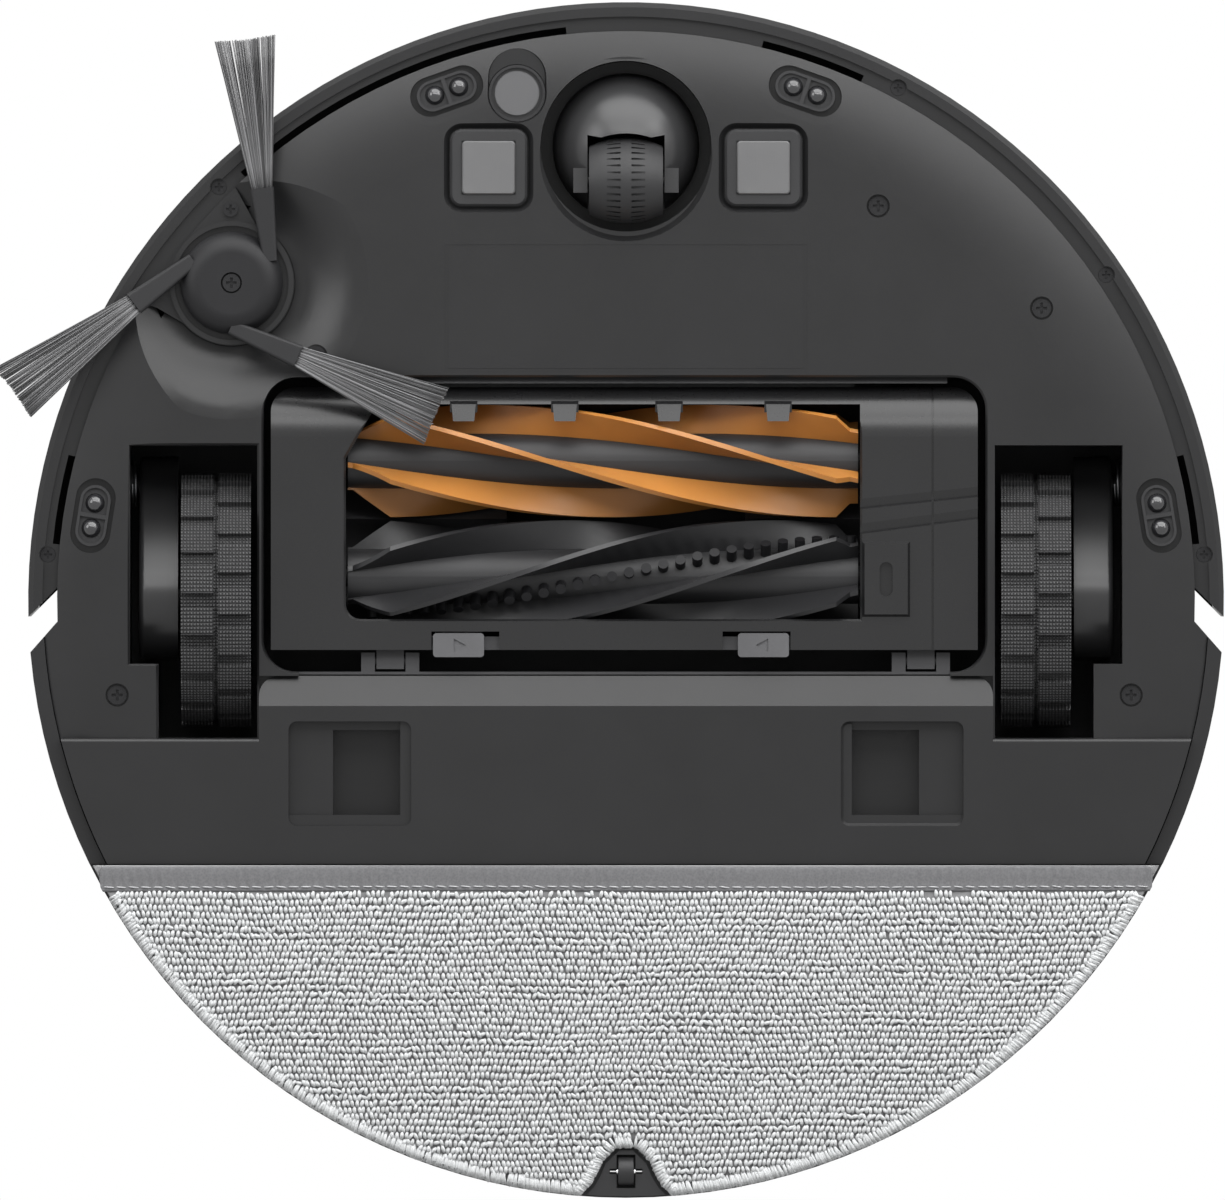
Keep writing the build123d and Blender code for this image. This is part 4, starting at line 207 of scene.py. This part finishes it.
def knurl(add, place):
    """Rows of small points on a drive tyre: |sin(k x) sin(n a)|, with a the angle about the axle."""
    waves_across, waves_round = 3300.0, 104.0
    split = add("ShaderNodeSeparateXYZ", links={"Vector": place})
    rise = add("ShaderNodeMath", {1: AXLE_Z * MM}, {0: split.outputs["Z"]}, operation="SUBTRACT")
    angle = add("ShaderNodeMath", links={0: split.outputs["Y"], 1: rise.outputs[0]}, operation="ARCTAN2")
    round_wave = add("ShaderNodeMath", {1: waves_round}, {0: angle.outputs[0]}, operation="MULTIPLY")
    round_sine = add("ShaderNodeMath", links={0: round_wave.outputs[0]}, operation="SINE")
    cross_wave = add("ShaderNodeMath", {1: waves_across}, {0: split.outputs["X"]}, operation="MULTIPLY")
    cross_sine = add("ShaderNodeMath", links={0: cross_wave.outputs[0]}, operation="SINE")
    both = add(
        "ShaderNodeMath",
        links={0: round_sine.outputs[0], 1: cross_sine.outputs[0]},
        operation="MULTIPLY",
    )
    return add("ShaderNodeMath", links={0: both.outputs[0]}, operation="ABSOLUTE").outputs[0]


def brushed(add, place):
    """Fine lines along Y on plated metal: noise stretched a hundredfold along Y."""
    stretch = add("ShaderNodeMapping", {"Scale": (6000.0, 60.0, 600.0)}, {"Vector": place})
    lines = add("ShaderNodeTexNoise", {"Scale": 1.0, "Detail": 2.0}, {"Vector": stretch.outputs["Vector"]})
    return lines.outputs["Fac"]


def sensor_face(name, disc, ring):
    """A satin disc in a dark ring: the disc's colour up to its radius about the sensor's own axis."""
    material, surface, tree, add = shader(name)
    place = add("ShaderNodeTexCoord").outputs["Object"]
    centre = (-CARPET[0] * MM, -CARPET[1] * MM, 0.0)
    shift = add("ShaderNodeVectorMath", {1: centre}, {0: place}, operation="ADD")
    flat = add("ShaderNodeVectorMath", {1: (1.0, 1.0, 0.0)}, {0: shift.outputs[0]}, operation="MULTIPLY")
    away = add("ShaderNodeVectorMath", links={0: flat.outputs[0]}, operation="LENGTH")
    step = add("ShaderNodeMath", {1: CARPET_DISC_R * MM}, {0: away.outputs["Value"]}, operation="LESS_THAN")
    fine = add("ShaderNodeTexNoise", {"Scale": 1600.0, "Detail": 3.0}, {"Vector": place})
    tint = add("ShaderNodeValToRGB", links={"Fac": step.outputs[0]})
    tint.color_ramp.elements[0].color = (*ring, 1)
    tint.color_ramp.elements[1].color = (*disc, 1)
    tree.links.new(tint.outputs["Color"], surface.inputs["Base Color"])
    gloss = add("ShaderNodeMapRange", {"To Min": 0.32, "To Max": 0.46}, {"Value": fine.outputs["Fac"]})
    tree.links.new(gloss.outputs["Result"], surface.inputs["Roughness"])
    depth = {"Strength": 0.15, "Distance": GRAIN_DEPTH}
    relief = add("ShaderNodeBump", depth, {"Height": fine.outputs["Fac"]})
    tree.links.new(relief.outputs["Normal"], surface.inputs["Normal"])
    surface.inputs["Specular IOR Level"].default_value = 0.4
    return material


def woven(name, colour, thread, sheen=0.4, spread=0.25):
    """Cloth yarn: colour that varies from yarn to yarn, fine fibre bumps and a soft sheen."""
    material, surface, tree, add = shader(name)
    place = add("ShaderNodeTexCoord").outputs["Object"]
    yarn = add("ShaderNodeTexVoronoi", {"Scale": thread}, {"Vector": place})
    fibre = add("ShaderNodeTexNoise", {"Scale": thread * 6, "Detail": 3.0}, {"Vector": place})
    tint = add("ShaderNodeValToRGB", links={"Fac": yarn.outputs["Distance"]})
    tint.color_ramp.elements[0].color = (*[c * (1 - spread) for c in colour], 1)
    tint.color_ramp.elements[1].color = (*[min(1.0, c * (1 + spread)) for c in colour], 1)
    tree.links.new(tint.outputs["Color"], surface.inputs["Base Color"])
    relief = add("ShaderNodeBump", {"Strength": 0.4, "Distance": 0.1 * MM}, {"Height": fibre.outputs["Fac"]})
    tree.links.new(relief.outputs["Normal"], surface.inputs["Normal"])
    gloss = add("ShaderNodeMapRange", {"To Min": 0.8, "To Max": 1.0}, {"Value": fibre.outputs["Fac"]})
    tree.links.new(gloss.outputs["Result"], surface.inputs["Roughness"])
    surface.inputs["Specular IOR Level"].default_value = 0.2
    surface.inputs["Sheen Weight"].default_value = sheen
    surface.inputs["Sheen Roughness"].default_value = 0.5
    return material


def bristle(name, dark, pale):
    """Nylon strands: each strand's own tone from dark to pale, with a fine grain and a satin gloss."""
    material, surface, tree, add = shader(name)
    place = add("ShaderNodeTexCoord").outputs["Object"]
    tone = add("ShaderNodeAttribute", attribute_name="strand_tone")
    tint = add("ShaderNodeValToRGB", links={"Fac": tone.outputs["Fac"]})
    tint.color_ramp.elements[0].color = (*dark, 1)
    tint.color_ramp.elements[1].color = (*pale, 1)
    tree.links.new(tint.outputs["Color"], surface.inputs["Base Color"])
    fine = add("ShaderNodeTexNoise", {"Scale": 600.0, "Detail": 2.0}, {"Vector": place})
    gloss = add("ShaderNodeMapRange", {"To Min": 0.3, "To Max": 0.45}, {"Value": fine.outputs["Fac"]})
    tree.links.new(gloss.outputs["Result"], surface.inputs["Roughness"])
    depth = {"Strength": 0.05, "Distance": GRAIN_DEPTH}
    relief = add("ShaderNodeBump", depth, {"Height": fine.outputs["Fac"]})
    tree.links.new(relief.outputs["Normal"], surface.inputs["Normal"])
    surface.inputs["Specular IOR Level"].default_value = 0.4
    return material


body_black = grained("body_black", (0.011, 0.011, 0.0115), rough=0.33, grain=1500, bump=0.2, specular=0.36)
cover_black = grained("cover_black", (0.009, 0.009, 0.0095), rough=0.28, grain=1300, bump=0.04, specular=0.42,
                      uneven=0.02)
# Painted fill light: the body's black plastic made lighter, so the caster dome and drive arms in their
# recesses are not lost in shade.
dome_black_painted_fill = grained("dome_black_painted_fill", (0.032, 0.032, 0.033), rough=0.3, grain=1300, bump=0.03, specular=0.42,
                     uneven=0.02)
# Painted fill light: the same black plastic made lighter for the wheel wells and hubs, standing in for light
# that their recesses shade.
well_black_painted_fill = grained("well_black_painted_fill", (0.060, 0.060, 0.062), rough=0.55, grain=1000, bump=0.2, specular=0.3)
# Painted fill light: lighter black for the brush bay and head housing, against the shade inside that recess.
bay_black_painted_fill = grained("bay_black_painted_fill", (0.050, 0.050, 0.052), rough=0.45, grain=1000, bump=0.2, specular=0.25)
inner_black = grained("inner_black", (0.018, 0.018, 0.019), rough=0.5, grain=1000, bump=0.2, specular=0.35)
hub_black = grained("hub_black", (0.010, 0.010, 0.011), rough=0.5, grain=1300, bump=0.14, specular=0.25)
sensor_silver = sensor_face("sensor_silver", (0.095, 0.095, 0.098), (0.014, 0.014, 0.015))
latch_grey = grained("latch_grey", (0.10, 0.10, 0.104), rough=0.5, grain=1500, bump=0.14)
deck_black = grained("deck_black", (0.016, 0.016, 0.017), rough=0.36, grain=1800, bump=0.06, specular=0.18)
window_black = grained("window_black", (0.006, 0.006, 0.008), rough=0.12, grain=800, bump=0.02, coat=0.6)
bin_grey = grained("bin_grey", (0.045, 0.048, 0.052), rough=0.22, grain=900, bump=0.04, coat=0.3)
tank_grey = grained("tank_grey", (0.09, 0.10, 0.11), rough=0.25, grain=700, bump=0.05, coat=0.3)
steel = grained("steel", (0.30, 0.30, 0.31), rough=0.35, grain=1600, bump=0.08, metallic=1.0, specular=0.5)
pin_black = grained("pin_black", (0.02, 0.02, 0.021), rough=0.45, grain=1600, bump=0.1)
contact_metal = grained("contact_metal", (0.13, 0.13, 0.132), rough=0.42, grain=1600, bump=0.05, metallic=0.4,
                        specular=0.4, spread=0.06, pattern=brushed, pattern_depth=0.02 * MM)
screw_black = grained("screw_black", (0.016, 0.016, 0.017), rough=0.4, grain=1500, bump=0.2, metallic=0.3)
chrome = grained("chrome", (0.82, 0.82, 0.83), rough=0.1, grain=600, bump=0.02, metallic=1.0, specular=0.5)
# The tyre's knurl points carry a painted highlight: their tips are painted a paler grey.
tyre_black = grained("tyre_black", (0.028, 0.028, 0.029), rough=0.55, grain=1100, bump=0.25, pattern=knurl,
                     pattern_depth=0.6 * MM, tip_highlight=(0.11, 0.11, 0.112))
sleeve_black = grained("sleeve_black", (0.014, 0.014, 0.015), rough=0.55, grain=1200, bump=0.2)
amber = grained("amber_rubber", (0.40, 0.165, 0.036), rough=0.34, grain=900, bump=0.08, spread=0.08,
                specular=0.4, scatter=0.2)
roller_black = grained("roller_black", (0.014, 0.014, 0.015), rough=0.36, grain=900, bump=0.1, specular=0.4)
bump_black = grained("bump_black", (0.010, 0.010, 0.011), rough=0.5, grain=900, bump=0.1, specular=0.2)
caster_black = grained("caster_black", (0.024, 0.024, 0.025), rough=0.5, grain=1000, bump=0.2)
board_green = grained("board_green", (0.02, 0.10, 0.045), rough=0.4, grain=700, bump=0.1)
filter_white = woven("filter_white", (0.62, 0.62, 0.60), 900)
lens_dark = grained("lens_dark", (0.020, 0.020, 0.022), rough=0.06, grain=500, bump=0.01, coat=1.0)
terry_grey = woven("terry_grey", (0.60, 0.61, 0.615), 700, spread=0.10)
# Painted shade: the backing is darker than the loops of the same yarn, so the gaps between loops read as
# shaded.
backing_shade_grey = woven("backing_shade_grey", (0.27, 0.27, 0.274), 700, spread=0.10)
hem_grey = woven("hem_grey", (0.165, 0.165, 0.17), 1600, sheen=0.0, spread=0.15)
thread_grey = woven("thread_grey", (0.50, 0.50, 0.51), 2500, sheen=0.0, spread=0.1)

bristle_grey = bristle("bristle_grey", (0.05, 0.05, 0.051), (0.24, 0.24, 0.245))

finishes = {
    body_black: ["base_plate", "rear_block", "body_shell", "bumper_shell", "bumper_flange",
                 "side_brush_gearbox"],
    cover_black: ["brush_cover"],
    dome_black_painted_fill: ["caster_housing", "drive_arm_right", "drive_arm_left"],
    well_black_painted_fill: ["wheel_housings", "wheel_hub_right", "wheel_hub_left"],
    bay_black_painted_fill: ["brush_bay", "head_housing"],
    inner_black: ["battery_pack", "fan_housing", "fan_impeller", "contact_frames",
                  "cliff_sensor_bodies", "brush_motor", "front_roller_core", "rear_roller_core", "mop_plate",
                  "lidar_rotor", "mop_roller"],
    hub_black: ["side_brush_hub"],
    sensor_silver: ["carpet_sensor"],
    latch_grey: ["cover_latch_right", "cover_latch_left"],
    deck_black: ["top_deck", "bin_lid", "power_button", "dock_button", "lidar_base", "lidar_cap"],
    window_black: ["bumper_window"],
    bin_grey: ["dust_bin"],
    tank_grey: ["water_tank"],
    steel: ["suspension_springs"],
    pin_black: ["pivot_pins", "caster_axle"],
    contact_metal: ["contact_plates"],
    screw_black: ["chassis_screws", "bumper_screws", "side_brush_screw"],
    chrome: ["mop_roller_pin"],
    tyre_black: ["tyre_right", "tyre_left"],
    sleeve_black: ["side_brush_sleeves", "side_brush_bristles"],
    amber: ["front_roller_blades"],
    roller_black: ["rear_roller_blades"],
    bump_black: ["rear_roller_bumps"],
    caster_black: ["caster_wheel"],
    board_green: ["main_board"],
    filter_white: ["bin_filter"],
    lens_dark: ["cliff_sensor_lenses"],
    terry_grey: ["mop_cloth"],
}
for material, names in finishes.items():
    for name in names:
        for material_slot in nodes[name].material_slots:
            material_slot.material = material


# Mop cloth

def cloth_edge(x):
    """The cloth's rear edge over x: the body's circle, broken by the bell-shaped notch in the middle."""
    circle = -np.sqrt(np.maximum(MOP_R ** 2 - x ** 2, MOP_FRONT ** 2))
    notch = np.interp(np.abs(x), NOTCH_W[::-1], NOTCH_Y[::-1])
    return np.where(np.abs(x) < NOTCH_W[0], np.maximum(notch, circle), circle)


def cloth_backing():
    """The flat backing: at each x a closed rounded strip from front edge to rear edge, carried across x."""
    reach = math.sqrt(MOP_R ** 2 - MOP_FRONT ** 2) - 0.3
    x = np.unique(np.concatenate([np.linspace(-reach, reach, 121), np.linspace(-14, 14, 29)]))
    v = np.linspace(0.0, 1.0, 25)
    front = np.full_like(x, MOP_FRONT + 0.1)
    rear = cloth_edge(x) + 0.6
    y = front[:, None] + (np.minimum(rear, front - 0.2) - front)[:, None] * v[None, :]
    inset = np.minimum(np.minimum(v, 1 - v) * 20, 1.0)
    low = 2.5 - 0.6 * np.sqrt(inset)[None, :] + 0 * y
    high = np.full_like(y, 3.7) + 0.2 * np.sqrt(inset)[None, :]
    ring_y = np.concatenate([y, y[:, ::-1]], axis=1)
    ring_z = np.concatenate([low, high[:, ::-1]], axis=1)
    ring_x = np.broadcast_to(x[:, None], ring_y.shape)
    points = np.stack([ring_x, ring_y, ring_z], axis=-1).reshape(-1, 3)
    around = 2 * len(v)
    faces = grid_faces(len(x), around, around=True).tolist()
    faces.append(list(range(around)))
    faces.append(list(range((len(x) - 1) * around, len(x) * around))[::-1])
    # Its darker grey is painted shade between the loops.
    return make_piece("mop_backing", points, faces, backing_shade_grey, "mop")


def terry_loops():
    """Chubby yarn loops in staggered rows: each a bean y = w t, z = -h (1 - t t), turned a little at random.
    The rows run over the whole cloth and are shared out to a right and a left piece."""
    chance = np.random.default_rng(11)
    columns = np.arange(-156.0, 156.0, LOOP_PITCH_X)
    rows = np.arange(HEM_REAR - 1.0, -172.0, -LOOP_PITCH_Y)
    gx, gy = np.meshgrid(columns, rows)
    gx = gx + (np.arange(gy.shape[0]) % 2)[:, None] * 0.5 * LOOP_PITCH_X
    wave = 0.5 * np.sin(gx / 9.0 + gy / 13.0) + 0.35 * np.sin(gx / 23.0 - gy / 7.0)
    x = (gx + chance.normal(0, 0.12, gx.shape)).ravel()
    y = (gy + 0.5 * wave + chance.normal(0, 0.14, gx.shape)).ravel()
    inside = (y > cloth_edge(x) + 3.2) & (y < HEM_REAR - 0.6)
    x, y = x[inside], y[inside]
    count = len(x)
    t = np.linspace(-1, 1, 5)
    loose = 0.5 + 0.5 * np.sin(y / 2.3 + 1.7 * np.sin(x / 37.0) + 0.6 * np.sin(x / 9.0))
    turn = chance.normal(0, 0.16, count) + chance.normal(0, 0.5, count) * loose ** 2
    turn = turn + 0.2 * np.sin(y / 11.0 + x / 17.0)
    lean = chance.normal(0, 0.22, count)
    half = chance.uniform(0.88, 1.04, count)
    tall = chance.uniform(0.40, 0.70, count)
    along = half[:, None] * t[None, :]
    drop = tall[:, None] * (1 - t ** 2)[None, :]
    px = x[:, None] - along * np.sin(turn)[:, None] + drop * lean[:, None] * 0.5
    py = y[:, None] + along * np.cos(turn)[:, None]
    pz = 1.6 - drop + chance.normal(0, 0.08, count)[:, None]
    bean = np.array([0.55, 0.92, 1.0, 0.92, 0.55])
    thick = chance.uniform(0.58, 0.68, count)[:, None] * bean[None, :]
    paths = np.stack([px, py, pz], axis=-1)
    pieces = []
    for name, part in (("mop_loops_right", x >= 0), ("mop_loops_left", x < 0)):
        verts, faces = many_tubes(paths[part], thick[part], 5)
        pieces.append(make_piece(name, verts, faces, terry_grey, "mop"))
    return pieces


def fuzzy_edge():
    """The overlocked edge: yarn wraps side by side along the rear edge, each a low arch square to it."""
    chance = np.random.default_rng(5)
    reach = math.sqrt(MOP_R ** 2 - (HEM_REAR - 1.4) ** 2)
    x = np.linspace(-reach, reach, 4001)
    y = cloth_edge(x)
    length = np.concatenate([[0], np.cumsum(np.hypot(np.diff(x), np.diff(y)))])
    at = np.arange(0.4, length[-1] - 0.4, WRAP_PITCH)
    ex, ey = np.interp(at, length, x), np.interp(at, length, y)
    tx, ty = np.gradient(ex), np.gradient(ey)
    size = np.hypot(tx, ty)
    nx, ny = -ty / size, tx / size
    flip = np.where(ny < 0, -1, 1)
    nx, ny = nx * flip, ny * flip
    inward = np.array([0.1, 0.15, 1.3, 2.6, 3.7])[None, :] + chance.normal(0, 0.12, (len(at), 5))
    z = np.array([3.2, 1.6, 0.95, 1.15, 1.9])[None, :] + chance.normal(0, 0.1, (len(at), 1))
    slant = chance.normal(0.5, 0.3, len(at))[:, None] * (np.array([0, 0.2, 0.6, 1.0, 1.2])[None, :])
    px = ex[:, None] + nx[:, None] * inward + (tx / size)[:, None] * slant
    py = ey[:, None] + ny[:, None] * inward + (ty / size)[:, None] * slant
    radii = chance.uniform(0.42, 0.55, (len(at), 1)) * np.array([[0.7, 1.0, 1.05, 1.0, 0.7]])
    verts, faces = many_tubes(np.stack([px, py, z + 0 * px], axis=-1), radii, 5)
    return make_piece("mop_overlock", verts, faces, terry_grey, "mop")


def hem_band():
    """The front hem: a rounded flat strip, its profile carried along x, with soft puckers across it."""
    u = np.linspace(-1, 1, 1001)
    x = HEM_HALF * u
    a = np.linspace(0, 2 * math.pi, 24, endpoint=False)
    profile_y = np.sign(np.cos(a)) * np.abs(np.cos(a)) ** 0.3 * 3.75
    profile_z = np.sign(np.sin(a)) * np.abs(np.sin(a)) ** 0.5 * 1.05
    underside = profile_z[None, :] < 0
    fold = np.sin(x / PUCKER_PITCH * 2 * math.pi + 1.8 * np.sin(x / 11.0)) * (0.65 + 0.35 * np.sin(x / 5.3))
    pucker = 0.30 * fold[:, None] * np.exp(-((profile_y[None, :] + 0.6) / 2.6) ** 2) * underside
    tuck = -0.25 * np.exp(-((profile_y[None, :] + 2.4) / 0.5) ** 2) * underside
    y = (MOP_FRONT + HEM_REAR) / 2 + profile_y[None, :] + 0.12 * np.sin(x / 31.0)[:, None]
    z = 2.2 + profile_z[None, :] + pucker - tuck
    corner = np.clip((y - MOP_FRONT + 2.0) / 2.0, 0.0, 1.0)
    reach = np.minimum(HEM_HALF, np.sqrt(MOP_R ** 2 - y ** 2) + 0.9)
    reach = reach - 2.0 * (1 - np.sqrt(1 - corner ** 2))
    points = np.stack([u[:, None] * reach, y, z + 0 * y], axis=-1).reshape(-1, 3)
    faces = grid_faces(len(x), len(a), around=True)[:, ::-1].tolist()
    faces.append(list(range(len(a))))
    faces.append(list(range((len(x) - 1) * len(a), len(x) * len(a)))[::-1])
    return make_piece("mop_hem", points, faces, hem_grey, "mop")


def hem_stitches():
    """One row of thread stitches along the hem: short arcs that dip into the cloth at both ends."""
    chance = np.random.default_rng(7)
    x = np.arange(-151.2, 151.3, STITCH_PITCH)
    t = np.linspace(-1, 1, 6)
    tilt = chance.normal(0.12, 0.08, len(x))
    px = x[:, None] + 1.45 * t[None, :]
    py = HEM_REAR + 1.4 + 0.12 * np.sin(x / 31.0)[:, None] + tilt[:, None] * t[None, :]
    pz = 1.08 + 0.32 * t[None, :] ** 4 + 0 * px
    radii = 0.2 * (1 - 0.5 * t[None, :] ** 6)
    verts, faces = many_tubes(np.stack([px, py, pz], axis=-1), radii, 6)
    return make_piece("mop_stitches", verts, faces, thread_grey, "mop")


backing = cloth_backing()
cloth_trim = [
    *terry_loops(),
    fuzzy_edge(),
    hem_band(),
    hem_stitches(),
]
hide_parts("mop_cloth")


# Side brush

def brush_strands():
    """Strands in flat tufts that fan out straight from the sleeve to one straight cut:
    across = a (root + spread s), along = sleeve + reach s, height falling from the sleeve to the floor."""
    chance = np.random.default_rng(3)
    per_tuft = STRANDS_PER_TUFT
    wide_rows = per_tuft // STRANDS_HIGH
    longest = TUFT_REACH - SLEEVE_END
    buried = 1.5
    root_half, fan_half = 2.7, 5.9
    tip_z = 0.95
    s = np.linspace(0, 1, 7)
    paths, radii = [], []
    for index in range(TUFTS):
        angle = math.radians(TUFT_ANGLE + 360 / TUFTS * index)
        out = np.array([math.cos(angle), math.sin(angle)])
        across = np.array([-math.sin(angle), math.cos(angle)])
        spread = np.repeat(np.linspace(-1, 1, wide_rows), STRANDS_HIGH) + chance.normal(0, 0.012, per_tuft)
        tall = np.tile(np.linspace(-0.5, 0.5, STRANDS_HIGH), wide_rows) + chance.normal(0, 0.05, per_tuft)
        reach = longest + 0.6 * spread ** 2 + chance.normal(0, 0.18, per_tuft)
        along = SLEEVE_END - buried + (np.minimum(reach, longest + 0.6) + buried)[:, None] * s[None, :]
        wide = TUFT_OFFSET + spread[:, None] * (root_half + fan_half * s[None, :])
        wide = wide + chance.normal(0, 0.22, per_tuft)[:, None] * s[None, :] ** 2
        z = SLEEVE_Z + (tall * 1.9)[:, None] * (1 - 0.6 * s[None, :]) + (tip_z - SLEEVE_Z) * s[None, :] ** 1.1
        xy = BRUSH + along[..., None] * out + wide[..., None] * across
        paths.append(np.concatenate([xy, np.maximum(z, 0.35)[..., None]], axis=-1))
        radii.append(np.broadcast_to(STRAND_R - 0.03 * s[None, :], (per_tuft, len(s))))
    verts, faces = many_tubes(np.concatenate(paths), np.concatenate(radii), 4)
    piece = make_piece("brush_strands", verts, faces, bristle_grey, "side_brush")
    total = TUFTS * per_tuft
    tone = np.repeat(chance.uniform(0, 1, total), len(verts) // total)
    stored = piece.data.attributes.new("strand_tone", "FLOAT", "POINT")
    stored.data.foreach_set("value", tone.astype(np.float32))
    return piece


strands = brush_strands()
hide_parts("side_brush_bristles")


# Camera, lamps and floor

camera_data = bpy.data.cameras.new("camera")
camera_data.lens = 1400.0
camera_data.sensor_width = 36.0
camera = bpy.data.objects.new("camera", camera_data)
bpy.context.scene.collection.objects.link(camera)
distance = camera_data.lens / camera_data.sensor_width * PHOTO_WIDTH * PHOTO_PIXEL
camera.location = (PHOTO_SHIFT * PHOTO_PIXEL, 0.0, 0.012 - distance)
camera.rotation_euler = (0.0, math.pi, 0.0)
bpy.context.scene.camera = camera


def lamp(name, place, aim, width, height, power):
    """A soft box, width along X, that shines from place towards aim."""
    data = bpy.data.lights.new(name, "AREA")
    data.shape = "RECTANGLE"
    data.size = width
    data.size_y = height
    data.energy = power
    soft_box = bpy.data.objects.new(name, data)
    bpy.context.scene.collection.objects.link(soft_box)
    way = np.array(aim, float) - np.array(place, float)
    soft_box.location = place
    soft_box.rotation_euler = (
        math.atan2(math.hypot(way[0], way[1]), -way[2]),
        0.0,
        math.atan2(way[0], -way[1]) + math.pi,
    )
    soft_box.visible_camera = False
    return soft_box


lamp("front_below", (-0.1, 0.70, -1.12), (0.0, 0.05, 0.02), 1.5, 0.35, 8.0)
lamp("front_low", (-0.2, 1.3, -0.66), (0.0, 0.05, 0.02), 2.6, 1.1, 36.0)
lamp("left_low", (1.25, 0.55, -0.95), (0.05, 0.05, 0.02), 0.9, 0.7, 8.0)
lamp("right_low", (-1.3, 0.65, -0.95), (-0.05, 0.05, 0.02), 0.9, 0.7, 6.0)
lamp("front_above", (-0.9, 1.0, 1.3), (0.0, 0.0, 0.05), 1.6, 1.6, 20.0)
lamp("rear_above", (0.9, -1.1, 1.2), (0.0, 0.0, 0.05), 1.6, 1.6, 14.0)


def white_studio(fill, backdrop):
    """An even white world: fill is its strength for soft light, backdrop for what is seen or mirrored."""
    world = bpy.data.worlds.new("studio")
    bpy.context.scene.world = world
    world.use_nodes = True
    sky = world.node_tree
    sky.nodes.clear()
    ray = sky.nodes.new("ShaderNodeLightPath")
    seen = sky.nodes.new("ShaderNodeMath")
    seen.operation = "MAXIMUM"
    seen_too = sky.nodes.new("ShaderNodeMath")
    seen_too.operation = "MAXIMUM"
    sky.links.new(ray.outputs["Is Camera Ray"], seen.inputs[0])
    sky.links.new(ray.outputs["Is Glossy Ray"], seen.inputs[1])
    sky.links.new(seen.outputs[0], seen_too.inputs[0])
    sky.links.new(ray.outputs["Is Transmission Ray"], seen_too.inputs[1])
    strength = sky.nodes.new("ShaderNodeMapRange")
    strength.inputs["To Min"].default_value = fill
    strength.inputs["To Max"].default_value = backdrop
    sky.links.new(seen_too.outputs[0], strength.inputs["Value"])
    background = sky.nodes.new("ShaderNodeBackground")
    background.inputs["Color"].default_value = (1, 1, 1, 1)
    sky.links.new(strength.outputs["Result"], background.inputs["Strength"])
    world_out = sky.nodes.new("ShaderNodeOutputWorld")
    sky.links.new(background.outputs["Background"], world_out.inputs["Surface"])


def pale_floor(half):
    """A pale square floor that is clear from underneath and casts nothing on the robot."""
    material, surface, tree, add = shader("floor_pale")
    surface.inputs["Roughness"].default_value = 0.8
    place = add("ShaderNodeTexCoord").outputs["Object"]
    cloud = add("ShaderNodeTexNoise", {"Scale": 3.0, "Detail": 3.0}, {"Vector": place})
    tint = add("ShaderNodeValToRGB", links={"Fac": cloud.outputs["Fac"]})
    tint.color_ramp.elements[0].color = (0.78, 0.78, 0.78, 1)
    tint.color_ramp.elements[1].color = (0.84, 0.84, 0.84, 1)
    tree.links.new(tint.outputs["Color"], surface.inputs["Base Color"])
    clear = add("ShaderNodeBsdfTransparent")
    side = add("ShaderNodeNewGeometry").outputs["Backfacing"]
    mix = add("ShaderNodeMixShader", links={0: side, 1: surface.outputs["BSDF"], 2: clear.outputs["BSDF"]})
    shown = next(n for n in tree.nodes if n.type == "OUTPUT_MATERIAL")
    tree.links.new(mix.outputs["Shader"], shown.inputs["Surface"])
    mesh = bpy.data.meshes.new("floor")
    corners = [(-half, -half, 0), (half, -half, 0), (half, half, 0), (-half, half, 0)]
    mesh.from_pydata(corners, [], [(0, 1, 2, 3)])
    mesh.materials.append(material)
    floor = bpy.data.objects.new("floor", mesh)
    bpy.context.scene.collection.objects.link(floor)
    floor.visible_shadow = False
    floor.visible_diffuse = False
    floor.visible_glossy = False
    floor.visible_transmission = False


white_studio(fill=0.32, backdrop=1.0)
pale_floor(half=3)

bpy.context.scene.view_settings.view_transform = "Standard"
